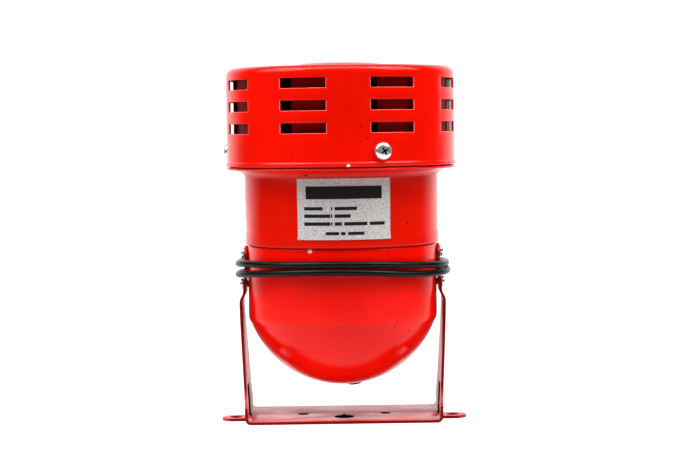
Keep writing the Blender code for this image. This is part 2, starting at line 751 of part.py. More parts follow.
def rotor_profile():
    """A drum with a floor, a wall and a narrow inturned rim at its top."""
    floor, wall = 1.2, 1.0
    hub = [(3.35, ROTOR_BOTTOM - 1.0), (HUB_R, ROTOR_BOTTOM - 1.0), (HUB_R + 1.0, ROTOR_BOTTOM)]
    outside = [(ROTOR_R, ROTOR_BOTTOM), (ROTOR_R, ROTOR_TOP), (33.0, ROTOR_TOP)]
    inside = [(33.0, ROTOR_TOP - wall), (ROTOR_R - wall, ROTOR_TOP - wall)]
    inside += [(ROTOR_R - wall, ROTOR_BOTTOM + floor), (HUB_R, ROTOR_BOTTOM + floor)]
    return hub + outside + inside + [(HUB_R, HUB_TOP), (3.35, HUB_TOP)]


def vane_shape(azimuth):
    """A flat blade from hub to wall, whose top edge falls towards the hub."""
    root, tip = HUB_R - 0.6, ROTOR_R - 0.5
    floor = ROTOR_BOTTOM + 0.6
    outline = ((root, floor), (tip, floor), (tip, 125.0), (tip - 3.5, 125.0), (root, 111.2))
    upright = Matrix.Rotation(math.radians(90), 4, "X")
    blade = placed(prism(outline, -0.5, 0.5), upright)
    return placed(blade, Matrix.Rotation(math.radians(azimuth - 90.0), 4, "Z"))


def port_cut(azimuth):
    half_w = ROTOR_R * math.sin(math.radians(PORT_DEG / 2))
    middle = (PORT_BOTTOM + PORT_TOP) / 2
    half_h = (PORT_TOP - PORT_BOTTOM) / 2
    port = box((-half_h, -half_w, ROTOR_R - 4.0), (half_h, half_w, ROTOR_R + 3.0))
    return placed(port, out_from_axis(azimuth, middle))


def build_rotor(axis):
    rotor = piece("siren_rotor", revolve(rotor_profile()), ROTOR_RED, axis)
    step = 360.0 / ROTOR_PORTS
    cut(rotor, [port_cut(FIRST_PORT_DEG + i * step) for i in range(ROTOR_PORTS)])
    join(rotor, [vane_shape(FIRST_PORT_DEG + (i + 0.5) * step) for i in range(ROTOR_PORTS)])


def build_shaft(axis):
    profile = [(0.0, 26.0), (2.5, 26.0), (SHAFT_R, 26.6), (SHAFT_R, 116.4), (2.4, 117.2), (0.0, 117.2)]
    piece("motor_shaft", revolve(profile, 20), STEEL, axis)
    washer = ring_profile(SHAFT_R + 0.25, 6.0, HUB_TOP + 0.2, HUB_TOP + 1.0)
    piece("rotor_washer", revolve(washer, 16), STEEL, axis)
    bottom = HUB_TOP + 1.2
    hex_nut("rotor_nut", Matrix.Identity(4), 5.4, SHAFT_R + 0.25, bottom, bottom + 2.6, axis)


def build_armature(axis):
    core = revolve(ring_profile(SHAFT_R + 0.3, ARMATURE_R, CORE_BOTTOM, CORE_TOP), 36)
    armature = piece("armature_core", core, LAMINATION, axis)
    slots = []
    for i in range(ARMATURE_SLOTS):
        slot = box((11.0, -0.8, CORE_BOTTOM - 1), (17.0, 0.8, CORE_TOP + 1))
        slots.append(placed(slot, Matrix.Rotation(math.tau * (i + 0.5) / ARMATURE_SLOTS, 4, "Z")))
    cut(armature, slots)
    for name, low, high in (
        ("lower", COMMUTATOR[1] + 1.0, CORE_BOTTOM - GAP),
        ("upper", CORE_TOP + GAP, CORE_TOP + 5.6),
    ):
        middle, half = (low + high) / 2, (high - low) / 2
        ring = [(4.2, middle - half * 0.6), (6.0, low), (11.5, low), (14.2, middle - half * 0.4)]
        ring += [(14.2, middle + half * 0.4), (11.5, high), (6.0, high), (4.2, middle + half * 0.6)]
        piece("armature_winding_" + name, revolve(ring, 18), COPPER, axis)
    low, high = COMMUTATOR
    profile = [(SHAFT_R + 0.3, low), (COMMUTATOR_R, low), (COMMUTATOR_R, high - 1.0)]
    profile += [(COMMUTATOR_R + 1.2, high - 0.6), (COMMUTATOR_R + 1.2, high), (SHAFT_R + 0.3, high)]
    piece("commutator", revolve(profile, 20), BRASS, axis)


def rotor_axis():
    """An empty on the axis that every turning piece hangs from."""
    axis = bpy.data.objects.new("rotor_axis", None)
    bpy.context.scene.collection.objects.link(axis)
    return axis


def main():
    clear_scene()
    build_drum()
    build_drum_screws()
    build_upper_housing()
    build_label()
    build_lower_can()
    build_bracket()
    build_bracket_screws()
    build_cord()
    build_grommet()
    build_motor_plate()
    build_carriers()
    build_through_bolts()
    build_field_core()
    build_field_coils()
    build_brush_gear()
    build_motor_leads()
    axis = rotor_axis()
    build_rotor(axis)
    build_shaft(axis)
    build_armature(axis)


main()
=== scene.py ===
"""Looks of the mains motor siren: fine sheet-metal shells, screws, label, cord and finishes.

Lengths named here are in mm and are turned into metres where a mesh or a place is made.
"""
import math

import bmesh
import bpy
from mathutils import Matrix, Vector


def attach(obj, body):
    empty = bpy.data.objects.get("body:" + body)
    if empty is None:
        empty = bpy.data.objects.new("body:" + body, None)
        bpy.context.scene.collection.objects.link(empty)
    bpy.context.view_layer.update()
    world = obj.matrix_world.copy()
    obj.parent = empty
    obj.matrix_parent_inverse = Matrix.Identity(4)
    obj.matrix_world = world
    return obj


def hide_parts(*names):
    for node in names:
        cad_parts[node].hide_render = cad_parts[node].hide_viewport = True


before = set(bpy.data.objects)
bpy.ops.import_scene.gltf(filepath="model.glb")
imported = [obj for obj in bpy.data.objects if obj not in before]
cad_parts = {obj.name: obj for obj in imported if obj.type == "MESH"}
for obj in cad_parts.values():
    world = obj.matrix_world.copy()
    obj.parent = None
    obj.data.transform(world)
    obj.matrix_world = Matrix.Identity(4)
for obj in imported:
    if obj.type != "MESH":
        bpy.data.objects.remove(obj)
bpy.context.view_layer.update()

MM = 0.001
ON_AXIS = 1e-6                  # a radius this small is a point on the axis
SHELL_STEPS = 180               # facets round a turned shell
EDGE_DEG = 50                   # edges sharper than this are rounded

# ---- Sizes that the CAD model also has, mm ----
SHEET = 0.8
DRUM_R, DRUM_TOP, DRUM_EDGE_R = 43.05, 132.7, 2.8
LIP_R, DRUM_BOTTOM, CROWN_TOP = 43.5, 95.9, 134.4
INTAKE_COUNT, INTAKE_RING_R, INTAKE_HOLE_R, INTAKE_CUT = 8, 9.4, 2.3, (131.0, 137.0)
COLUMNS, FIRST_COLUMN_DEG, SLOT_HALF_DEG = 8, 26.8, 11.66
SLOT_HEIGHTS, SLOT_H = (110.05, 118.2, 126.3), 3.65
DRUM_SCREW_DEG, DRUM_SCREW_Z = (20.7, 140.7, -99.3), 101.5
HIGHLIGHT_OUTWARD, HIGHLIGHT_UP = (0.3, 0.96), -0.2      # how a slot edge's face lies where the painted highlight goes
RIM_R, RIM_TOP = 41.8, 104.2
NECK_TOP_R, NECK_R = 36.6, 36.35
NECK_TOP_Z, NECK_Z, BEAD_H, BEAD_TOP, SEAM_Z = 92.0, 71.4, 0.25, 70.35, 66.4
CAN_R, SPIGOT_R, SPIGOT_TOP = 35.8, 35.15, 72.0
DOME_R, DOME_CENTRE_Z, DOME_TOP = 37.3, 49.95, 36.6
LABEL_W, LABEL_BOTTOM, LABEL_TOP, LABEL_CENTRE_DEG = 34.6, 69.6, 91.8, 1.7
STRIP_T, STRIP_HALF_W, FOOT_HALF = 1.0, 20.0, 36.85
KNEE_HALF, TAB_HALF, TIP_HALF, TIP_Z = 38.9, 37.5, 36.95, 57.5
KNEE_Z, TAB_Z, ARM_TOP, BEND_R = 44.2, 49.4, 65.8, 2.2
ARM_TOP_R, TAPER = 5.0, ((19.3, 6.3), (15.5, 12.5), (5.3, 60.3))
EAR_TIP, EAR_HOLE_X, EAR_HOLE_R, EAR_Y, EAR_HALF_W = 46.3, 41.1, 2.35, -5.5, 4.7
WINDOW_TOP, WINDOW_GAP = 13.5, 0.3
BASE_HOLE = (15.65, -0.8, 2.15)
BIG_HOLE = (-8.4, 3.8)
WINDOW_X, EAR_ROOT = (34.2, 40.0), 33.2
KEY_HALF_W, KEY_Y = 0.5, (2.0, 6.1)
ARM_SCREW_HEIGHTS, ARM_SCREW_HOLE_R = (51.2, 62.9), 1.65
BASE_CUT, ARM_CUT, TAPER_CUT = (-1.0, 2.0), (34.0, 40.0), (33.0, 41.0)  # ends of what cuts them

# ---- Screws: head radius and height, shank radius and length, mm, and how each is turned ----
DRUM_SCREW, DRUM_SCREW_LIFT, DRUM_SCREW_TURNS = (3.2, 2.0, 1.5, 4.0), 0.12, (28, 75, 122)
ARM_SCREW, ARM_SCREW_LIFT, ARM_SCREW_TURNS = (2.1, 1.5, 1.3, 4.2), 0.1, (15, 48, 81, 114)

# ---- Label: how far its foil and print stand off the neck, and how thick they are, mm ----
FOIL_LIFT, FOIL_T = 0.12, 0.2
PRINT_LIFT, PRINT_T = 0.33, 0.03
PLATE_STEP = 1.2

# ---- Siren rotor, mm ----
ROTOR_R, ROTOR_BOTTOM, ROTOR_TOP = 40.5, 105.0, 130.2
ROTOR_PORTS, PORT_DEG, FIRST_PORT_DEG = 8, 21.0, 9.1
PORT_BOTTOM, PORT_TOP, HUB_R, HUB_TOP = 107.4, 128.6, 7.0, 112.0
FLOOR_BORE_R, HUB_BORE_R = 3.4, 3.35
BLADE_TOP, BLADE_FLAT, BLADE_ROOT_TOP, BLADE_T = 125.0, 3.5, 111.2, 0.8

# ---- The cord's route, as in the CAD model, mm ----
CORD_D = 2.5
GROMMET_XY = (3.9, 8.0)
BOOT = ((3.9, 9.8, 12.2), (3.9, 12.9, 13.2), 1.75)
RISER = (
    (3.9, 13.2, 13.3), (3.9, 18.0, 15.1), (4.1, 24.8, 19.7), (4.6, 31.2, 26.3),
    (5.5, 36.1, 34.2), (7.2, 37.1, 41.2), (9.9, 36.5, 45.9), (14.2, 34.9, 49.6), (20.0, 32.0, 52.0),
)
WRAP_STEP_DEG = 22.5
WRAP_RADII = (37.6, 37.6, 38.0, 39.8, 39.4)
FIRST_TURN = (
    53.6, 54.9, 56.0, 55.9, 56.1, 57.2, 57.9, 57.7, 57.0, 56.0, 55.1, 55.1, 55.3, 55.7, 56.1,
)
SECOND_TURN = (
    56.7, 57.6, 58.3, 58.6, 58.8, 59.4, 60.3, 60.6, 60.5, 60.2, 60.0, 59.2, 59.6, 60.2, 60.8, 61.2,
    61.4,
)
FIRST_TURN_START_DEG = 135.0
OUTER_AT_RIGHT, RIGHT_DEG = 0.5, (60.0, 120.0)
CORE_WIRE_D, CORE_WIRE_L, CORE_WIRE_APART, CORE_WIRE_SPREAD = 0.9, 11.0, 0.62, (0.4, 1.6)
CORD_STEPS, WIRE_STEPS, BARE_FROM = 420, 24, 14

# ---- View: eye, lens and tilt ----
EYE = (0.0031, -0.703, 0.1095)
LENS_MM, SENSOR_MM = 95.1, 36.0
PITCH_DEG = 3.23
ROLL_DEG = 0.8
VIEW_GAMMA = 0.86

# ---- Studio ----
FLOOR_GLOW, WALL_SEEN = 1.12, 1.05
WALL_GLOW = (0.35, 0.8, 0.03, 1.5)     # how far back it starts and ends, and its least and most
AIM_Z, LIGHT_AWAY = 0.08, 0.9
LIGHTS = (                      # name, azimuth and elevation in degrees, size in metres, watts
    ("box_front", 0.0, 71.0, (1.2, 0.6), 11.2),
    ("box_left", -72.0, 46.0, (0.6, 0.6), 5.9),
    ("box_right", 72.0, 46.0, (0.6, 0.6), 5.9),
)


# ---- Meshes, drawn in mm ----

def arc(centre, radius, start_deg, end_deg, steps):
    points = []
    for i in range(steps + 1):
        a = math.radians(start_deg + (end_deg - start_deg) * i / steps)
        points.append((centre[0] + radius * math.cos(a), centre[1] + radius * math.sin(a)))
    return points


def inset(profile, depth):
    """The same outline moved in by depth, to the right of the way it runs."""
    moved = []
    for i, (r, z) in enumerate(profile):
        before = Vector(profile[max(i - 1, 0)])
        after = Vector(profile[min(i + 1, len(profile) - 1)])
        first = (Vector((r, z)) - before).normalized() if i else None
        second = (after - Vector((r, z))).normalized() if i < len(profile) - 1 else None
        along = ((first or second) + (second or first)).normalized()
        stretch = 1.0 / max(along.dot(first or second), 0.6)
        normal = Vector((along.y, -along.x)) * depth * stretch
        moved.append((0.0 if r < ON_AXIS else r + normal.x, z + normal.y))
    return moved


def as_object(name, verts, faces, finish, smooth_deg=32):
    mesh = bpy.data.meshes.new(name)
    mesh.from_pydata([Vector(v) * MM for v in verts], [], faces)
    bm = bmesh.new()
    bm.from_mesh(mesh)
    bmesh.ops.remove_doubles(bm, verts=bm.verts, dist=1e-7)
    bmesh.ops.recalc_face_normals(bm, faces=bm.faces)
    bm.to_mesh(mesh)
    bm.free()
    item = bpy.data.objects.new(name, mesh)
    bpy.context.scene.collection.objects.link(item)
    if finish:
        mesh.materials.append(finish)
    smooth(item, smooth_deg)
    return item


def smooth(item, angle_deg=32):
    item.data.shade_smooth()
    item.data.set_sharp_from_angle(angle=math.radians(angle_deg))


def revolve(profile, around):
    """A closed (radius, height) outline turned about Z."""
    verts, rings = [], []
    for r, z in profile:
        if r < ON_AXIS:
            rings.append([len(verts)] * around)
            verts.append((0.0, 0.0, z))
            continue
        rings.append(list(range(len(verts), len(verts) + around)))
        for i in range(around):
            a = math.tau * i / around
            verts.append((r * math.cos(a), r * math.sin(a), z))
    faces = []
    for j, ring in enumerate(rings):
        after = rings[(j + 1) % len(rings)]
        for i in range(around):
            k = (i + 1) % around
            face = list(dict.fromkeys((ring[i], ring[k], after[k], after[i])))
            if len(face) > 2:
                faces.append(face)
    return verts, faces


def prism(outline, low, high):
    n = len(outline)
    verts = [(x, y, low) for x, y in outline] + [(x, y, high) for x, y in outline]
    faces = [list(range(n))[::-1], list(range(n, 2 * n))]
    for i in range(n):
        k = (i + 1) % n
        faces.append([i, k, n + k, n + i])
    return verts, faces


def box(low, high):
    outline = ((low[0], low[1]), (high[0], low[1]), (high[0], high[1]), (low[0], high[1]))
    return prism(outline, low[2], high[2])


def placed(shape, matrix):
    return [matrix @ Vector(v) for v in shape[0]], shape[1]


def rod(radius, low, high, around, place):
    shape = revolve(((0, low), (radius, low), (radius, high), (0, high)), around)
    return placed(shape, place)


def gathered(shapes):
    verts, faces = [], []
    for shape_verts, shape_faces in shapes:
        start = len(verts)
        verts.extend(shape_verts)
        faces.extend([start + i for i in face] for face in shape_faces)
    return verts, faces


def apply_modifiers(item):
    graph = bpy.context.evaluated_depsgraph_get()
    graph.update()
    mesh = bpy.data.meshes.new_from_object(item.evaluated_get(graph))
    old = item.data
    item.modifiers.clear()
    item.data = mesh
    bpy.data.meshes.remove(old)


def boolean(item, kind, shapes):
    """Cuts or joins shapes at once, and leaves no helper behind."""
    for shape in shapes:
        guide = as_object("guide", *shape, None)
        modifier = item.modifiers.new(kind, "BOOLEAN")
        modifier.operation = kind
        modifier.solver = "EXACT"
        modifier.object = guide
        apply_modifiers(item)
        bpy.data.objects.remove(guide, do_unlink=True)


def bevel(item, width, segments=2, clamp=True):
    """Rounds the sharp edges. Without clamp, short edges nearby don't narrow it."""
    modifier = item.modifiers.new("edges", "BEVEL")
    modifier.width = width * MM
    modifier.segments = segments
    modifier.limit_method = "ANGLE"
    modifier.angle_limit = math.radians(EDGE_DEG)
    modifier.miter_outer = "MITER_ARC"
    modifier.use_clamp_overlap = clamp
    apply_modifiers(item)
    smooth(item, EDGE_DEG)


def out_from_axis(azimuth_deg, z, radius=0.0):
    """A frame whose +Z points out from the axis. Azimuth 0 is the front and 90 is +X."""
    turn = Matrix.Rotation(math.radians(azimuth_deg - 90.0), 4, "Z")
    turn = turn @ Matrix.Rotation(math.radians(90.0), 4, "Y")
    return Matrix.Translation((0, 0, z)) @ turn @ Matrix.Translation((0, 0, radius))


def punched_shell(outer, inner, angles, is_open):
    """A turned sheet with cells left out. The skins have the same points, and angles go once round."""
    verts, index = [], []
    for skin in (outer, inner):
        grid = []
        for r, z in skin:
            if r < ON_AXIS:
                grid.append([len(verts)] * len(angles))
                verts.append((0.0, 0.0, z))
                continue
            row = []
            for a in angles:
                row.append(len(verts))
                verts.append((r * math.sin(a), -r * math.cos(a), z))
            grid.append(row)
        index.append(grid)
    rows, columns = len(outer) - 1, len(angles)
    opened = [[is_open(j, i) for i in range(columns)] for j in range(rows)]
    faces = []
    for j in range(rows):
        for i in range(columns):
            if opened[j][i]:
                continue
            k = (i + 1) % columns
            for grid in index:
                corners = (grid[j][i], grid[j][k], grid[j + 1][k], grid[j + 1][i])
                face = list(dict.fromkeys(corners))
                if len(face) > 2:
                    faces.append(face)
            edges = (
                (j, i, j, k, j == 0 or opened[j - 1][i]),
                (j + 1, i, j + 1, k, j == rows - 1 or opened[j + 1][i]),
                (j, i, j + 1, i, opened[j][i - 1]),
                (j, k, j + 1, k, opened[j][k]),
            )
            o, n = index
            for ja, ia, jb, ib, bare in edges:
                if bare:
                    wall = list(dict.fromkeys((o[ja][ia], o[jb][ib], n[jb][ib], n[ja][ia])))
                    if len(wall) > 2:
                        faces.append(wall)
    return verts, faces


def smooth_path(points, count):
    """Evenly spaced points on a smooth curve through the given ones."""
    knots = [Vector(p) for p in points]
    knots = [knots[0] * 2 - knots[1]] + knots + [knots[-1] * 2 - knots[-2]]
    fine = []
    for i in range(1, len(knots) - 2):
        a, b, c, d = knots[i - 1:i + 3]
        for k in range(16):
            t = k / 16
            fine.append(0.5 * (2 * b + (c - a) * t + (2 * a - 5 * b + 4 * c - d) * t * t
                               + (3 * b - a - 3 * c + d) * t ** 3))
    fine.append(knots[-2])
    lengths = [0.0]
    for before, after in zip(fine, fine[1:]):
        lengths.append(lengths[-1] + (after - before).length)
    path, j = [], 0
    for i in range(count):
        want = lengths[-1] * i / (count - 1)
        while j < len(fine) - 2 and lengths[j + 1] < want:
            j += 1
        part = (want - lengths[j]) / (lengths[j + 1] - lengths[j])
        path.append(fine[j].lerp(fine[j + 1], min(part, 1.0)))
    return path


def tube(name, path, diameter, finish, sides=6, ends=(1.0, 1.0)):
    """A round curve along path, in mm. ends are the radius factors at its first and last point."""
    curve = bpy.data.curves.new(name, "CURVE")
    curve.dimensions = "3D"
    curve.bevel_depth = diameter / 2 * MM
    curve.bevel_resolution = sides
    curve.use_fill_caps = True
    spline = curve.splines.new("POLY")
    spline.points.add(len(path) - 1)
    for point, place in zip(spline.points, path):
        point.co = (*(Vector(place) * MM), 1.0)
    spline.points[0].radius, spline.points[-1].radius = ends
    spline.use_smooth = True
    curve.materials.append(finish)
    item = bpy.data.objects.new(name, curve)
    bpy.context.scene.collection.objects.link(item)
    return item


# ---- Materials ----

RANGE_SOCKETS = ("From Min", "From Max", "To Min", "To Max")


class Finish:
    """A Principled material and short ways to add nodes to it."""

    def __init__(self, name, colour, roughness, metallic=0.0, **sockets):
        self.material = bpy.data.materials.new(name)
        self.material.use_nodes = True
        self.tree = self.material.node_tree
        self.shader = self.tree.nodes["Principled BSDF"]
        self.colour = (*colour, 1.0)
        self.shader.inputs["Base Color"].default_value = self.colour
        self.shader.inputs["Roughness"].default_value = roughness
        self.shader.inputs["Metallic"].default_value = metallic
        for socket, value in sockets.items():
            self.shader.inputs[socket.replace("_", " ")].default_value = value
        self.place = self.node("ShaderNodeTexCoord").outputs["Object"]
        self.height = None

    def node(self, kind, **values):
        made = self.tree.nodes.new(kind)
        for key, value in values.items():
            if hasattr(made, key):
                setattr(made, key, value)
            else:
                made.inputs[key.replace("_", " ")].default_value = value
        return made

    def link(self, source, target):
        self.tree.links.new(source, target)

    def scaled(self, x, y, z):
        mapping = self.node("ShaderNodeMapping")
        mapping.inputs["Scale"].default_value = (x, y, z)
        self.link(self.place, mapping.inputs["Vector"])
        return mapping.outputs["Vector"]

    def noise(self, scale, detail=2.0, where=None):
        made = self.node("ShaderNodeTexNoise", Scale=scale, Detail=detail)
        self.link(where or self.place, made.inputs["Vector"])
        return made.outputs["Fac"]

    def spread(self, factor, low, high, out_low=0.0, out_high=1.0):
        made = self.node("ShaderNodeMapRange")
        for socket, value in zip(RANGE_SOCKETS, (low, high, out_low, out_high)):
            made.inputs[socket].default_value = value
        self.link(factor, made.inputs["Value"])
        return made.outputs["Result"]

    def colour_socket(self):
        links = self.shader.inputs["Base Color"].links
        return links[0].from_socket if links else None

    def tint(self, factor, colour):
        """Mixes colour over what is there, by factor."""
        mix = self.node("ShaderNodeMix", data_type="RGBA")
        before = self.colour_socket()
        if before:
            self.link(before, mix.inputs["A"])
        else:
            mix.inputs["A"].default_value = self.colour
        mix.inputs["B"].default_value = (*colour, 1.0)
        self.link(factor, mix.inputs["Factor"])
        self.link(mix.outputs["Result"], self.shader.inputs["Base Color"])

    def vary_roughness(self, factor, low, high):
        self.link(self.spread(factor, 0.3, 0.7, low, high), self.shader.inputs["Roughness"])

    def bump(self, height, depth_mm):
        """Raises the surface by height, whose full range stands for depth_mm."""
        made = self.node("ShaderNodeBump", Strength=1.0, Distance=depth_mm * MM)
        self.link(height, made.inputs["Height"])
        if self.height:
            self.link(self.height, made.inputs["Normal"])
        self.height = made.outputs["Normal"]
        self.link(self.height, self.shader.inputs["Normal"])

    def near(self, point, radius):
        """1 inside a ragged spot of that radius about point, both in mm."""
        ragged = 0.35
        wobble = self.node("ShaderNodeTexNoise", Scale=1400.0, Detail=2.0)
        self.link(self.place, wobble.inputs["Vector"])
        distance = self.node("ShaderNodeVectorMath", operation="DISTANCE")
        self.link(self.place, distance.inputs[0])
        distance.inputs[1].default_value = Vector(point) * MM
        add = self.node("ShaderNodeMath", operation="MULTIPLY_ADD")
        self.link(wobble.outputs["Fac"], add.inputs[0])
        add.inputs[1].default_value = radius * ragged * 2 * MM
        self.link(distance.outputs["Value"], add.inputs[2])
        edge = radius * (1 + ragged) * MM
        return self.spread(add.outputs["Value"], edge * 1.08, edge * 0.92)


def enamel(name, colour, chips_and_highlights=(), specks=(), shine=0.3, roughness=0.2, clean=0.6):
    """Gloss paint on sheet steel: a slight orange peel, uneven colour, dust specks, and pale spots for
    chips and painted highlights.
    """
    finish = Finish(name, colour, roughness, Specular_IOR_Level=shine)
    deep = [c * 0.72 for c in colour]
    finish.tint(finish.spread(finish.noise(38.0, 3.0), 0.42, 0.72, 0.0, 0.5), deep)
    finish.bump(finish.noise(620.0, 1.5), 0.018)
    finish.bump(finish.noise(95.0, 1.0), 0.05)
    dust = finish.noise(1500.0, 0.0)
    rare = finish.noise(130.0, 0.0)
    both = finish.node("ShaderNodeMath", operation="MULTIPLY")
    finish.link(finish.spread(dust, 0.77, 0.8), both.inputs[0])
    finish.link(finish.spread(rare, clean, clean + 0.06), both.inputs[1])
    finish.tint(both.outputs["Value"], [c * 0.25 for c in colour])
    for point, radius in specks:
        finish.tint(finish.near(point, radius), (0.03, 0.004, 0.003))
    # Pale spots: paint chips, and painted highlights where a spot stands in for reflected light.
    for point, radius in chips_and_highlights:
        finish.tint(finish.near(point, radius), (0.85, 0.75, 0.72))
    finish.vary_roughness(finish.noise(60.0, 3.0), roughness * 0.8, roughness * 1.3)
    return finish.material


def plated(name, colour, roughness, grain=(1.0, 1.0, 1.0), metallic=1.0):
    """Bright or zinc plating, with fine marks along the grain."""
    finish = Finish(name, colour, roughness, metallic)
    marks = finish.noise(1800.0, 3.0, finish.scaled(*grain))
    finish.bump(marks, 0.004)
    finish.tint(finish.spread(finish.noise(140.0, 4.0), 0.5, 0.75, 0.0, 0.6), [c * 0.6 for c in colour])
    finish.vary_roughness(finish.noise(320.0, 3.0), roughness * 0.75, roughness * 1.35)
    return finish.material


def foil():
    """Silver label stock: a fine brushed and speckled face."""
    finish = Finish("label_foil", (0.84, 0.82, 0.81), 0.42, 0.35)
    grain = finish.noise(2400.0, 3.0, finish.scaled(0.5, 0.5, 1.6))
    finish.tint(finish.spread(grain, 0.4, 0.68), (0.48, 0.465, 0.46))
    finish.bump(grain, 0.01)
    finish.vary_roughness(grain, 0.35, 0.5)
    return finish.material


def moulded(name, colour, roughness, depth_mm=0.01, scale=1200.0):
    """Plastic, rubber, ink or carbon with a fine texture."""
    finish = Finish(name, colour, roughness, Specular_IOR_Level=0.25)
    finish.bump(finish.noise(scale, 3.0), depth_mm)
    finish.tint(finish.spread(finish.noise(160.0, 3.0), 0.45, 0.75, 0.0, 0.5), [c * 1.6 for c in colour])
    finish.vary_roughness(finish.noise(400.0, 2.0), roughness * 0.85, roughness * 1.2)
    return finish.material


def banded(name, colour, roughness, pitch_mm, depth_mm, direction="Z", metallic=1.0):
    """Turns of wire or stacked sheets: fine parallel ridges."""
    finish = Finish(name, colour, roughness, metallic)
    ridges = finish.node("ShaderNodeTexWave", Scale=0.05 / (pitch_mm * MM), Distortion=0.4)
    ridges.bands_direction = direction
    finish.link(finish.place, ridges.inputs["Vector"])
    finish.bump(ridges.outputs["Fac"], depth_mm)
    finish.tint(finish.spread(ridges.outputs["Fac"], 0.5, 0.0), [c * 0.4 for c in colour])
    finish.vary_roughness(finish.noise(300.0, 2.0), roughness * 0.8, roughness * 1.3)
    return finish.material


def front_point(x, z, radius):
    """A point on a round wall of that radius, at x and height z on the front."""
    return (x, -math.sqrt(radius * radius - x * x), z)


def make_materials():
    drum_specks = (
        (front_point(10.0, 106.1, DRUM_R), 0.36), (front_point(-17.0, 98.9, DRUM_R), 0.2),
        (front_point(25.8, 109.0, DRUM_R), 0.2), (front_point(-20.5, 101.8, DRUM_R), 0.16),
    )
    neck_specks = (
        (front_point(24.1, 74.9, NECK_R), 0.34), (front_point(11.0, 68.6, NECK_R), 0.25),
        # Two dark spots just under the flange, above the label's left end.
        (front_point(-12.2, 92.9, 37.2), 0.5), (front_point(-13.2, 93.0, 37.2), 0.4),
    )
    dome_specks = (
        (front_point(16.1, 37.4, 34.9), 0.45), (front_point(18.9, 36.8, 34.7), 0.4),
        (front_point(19.9, 38.7, 35.4), 0.38), (front_point(23.9, 34.9, 33.9), 0.36),
        (front_point(21.8, 33.2, 33.1), 0.38), (front_point(24.9, 34.2, 33.6), 0.3),
        (front_point(-3.6, 31.0, 31.9), 0.25), (front_point(-19.0, 44.5, CAN_R), 0.22),
    )
    # One red paint in three strengths: the neck's is darker as painted shade under the drum's overhang, the
    # can's lighter as painted light on the dome.
    drum_red = (0.88, 0.0085, 0.0003)
    neck_red_painted_shade = (0.77, 0.01, 0.0003)
    can_red_painted_light = (0.93, 0.007, 0.0002)
    return {
        # The pale spot on the front of the lip is a painted highlight.
        "drum": enamel("drum_enamel", drum_red, ((front_point(2.9, 96.3, LIP_R), 0.75),), drum_specks,
                       clean=0.72),
        "housing": enamel("housing_enamel", neck_red_painted_shade, (), neck_specks, clean=0.68),
        "can": enamel("can_enamel", can_red_painted_light, ((front_point(-11.6, 65.6, CAN_R), 0.85),), dome_specks),
        "bracket": enamel("bracket_enamel", (0.56, 0.006, 0.004), shine=0.45, roughness=0.3),
        # The rotor's red is darkened as painted shade for the inside of the drum, seen through the slots.
        "rotor": enamel("rotor_enamel", (0.3, 0.003, 0.002), shine=0.1, roughness=0.45),
        # Near-black on the cut faces of the windows and base holes: painted shade where these edges sit in
        # shadow.
        "bare": moulded("bare_cut_edge", (0.012, 0.006, 0.005), 0.6),
        # Darker red for the bracket's cut edges that face forward: painted shade.
        "thin": enamel("thin_edge_enamel", (0.27, 0.003, 0.001), shine=0.12, roughness=0.4),
        "chrome": plated("bright_plating", (0.86, 0.86, 0.85), 0.17, metallic=0.75),
        # Dark grey in the screws' cross recesses: painted shade.
        "recess": plated("recess_painted_shade", (0.1, 0.1, 0.1), 0.35),
        # Pale pink for the slot edges that face out and up: a painted highlight of the overhead light.
        "slot_highlight": enamel("slot_edge_painted_highlight", (0.95, 0.3, 0.25)),
        "steel": plated("machined_steel", (0.56, 0.56, 0.58), 0.3, (1.0, 1.0, 6.0)),
        "zinc": plated("zinc_plating", (0.6, 0.59, 0.53), 0.38),
        "bronze": plated("sintered_bronze", (0.5, 0.29, 0.12), 0.45),
        "tin": plated("tinned_copper", (0.7, 0.68, 0.64), 0.3),
        "brass": banded("commutator_brass", (0.72, 0.48, 0.2), 0.28, 2.0, 0.05, "X"),
        "copper": banded("enamelled_copper", (0.6, 0.19, 0.06), 0.35, 0.5, 0.12, "Z", 0.9),
        "stack": banded("lamination_stack", (0.3, 0.3, 0.32), 0.45, 0.5, 0.06, "Z"),
        "foil": foil(),
        "ink": moulded("label_ink", (0.012, 0.012, 0.012), 0.55),
        "cord": moulded("cord_sheath", (0.004, 0.004, 0.005), 0.3, 0.012, 900.0),
        "rubber": moulded("grommet_rubber", (0.01, 0.01, 0.01), 0.6, 0.02),
        "carbon": moulded("brush_carbon", (0.02, 0.02, 0.02), 0.7, 0.02),
        "bakelite": moulded("holder_bakelite", (0.09, 0.035, 0.015), 0.4),
        "brown": moulded("brown_insulation", (0.14, 0.05, 0.02), 0.45),
        "blue": moulded("blue_insulation", (0.02, 0.07, 0.34), 0.45),
    }


# ---- Stage, light and camera ----

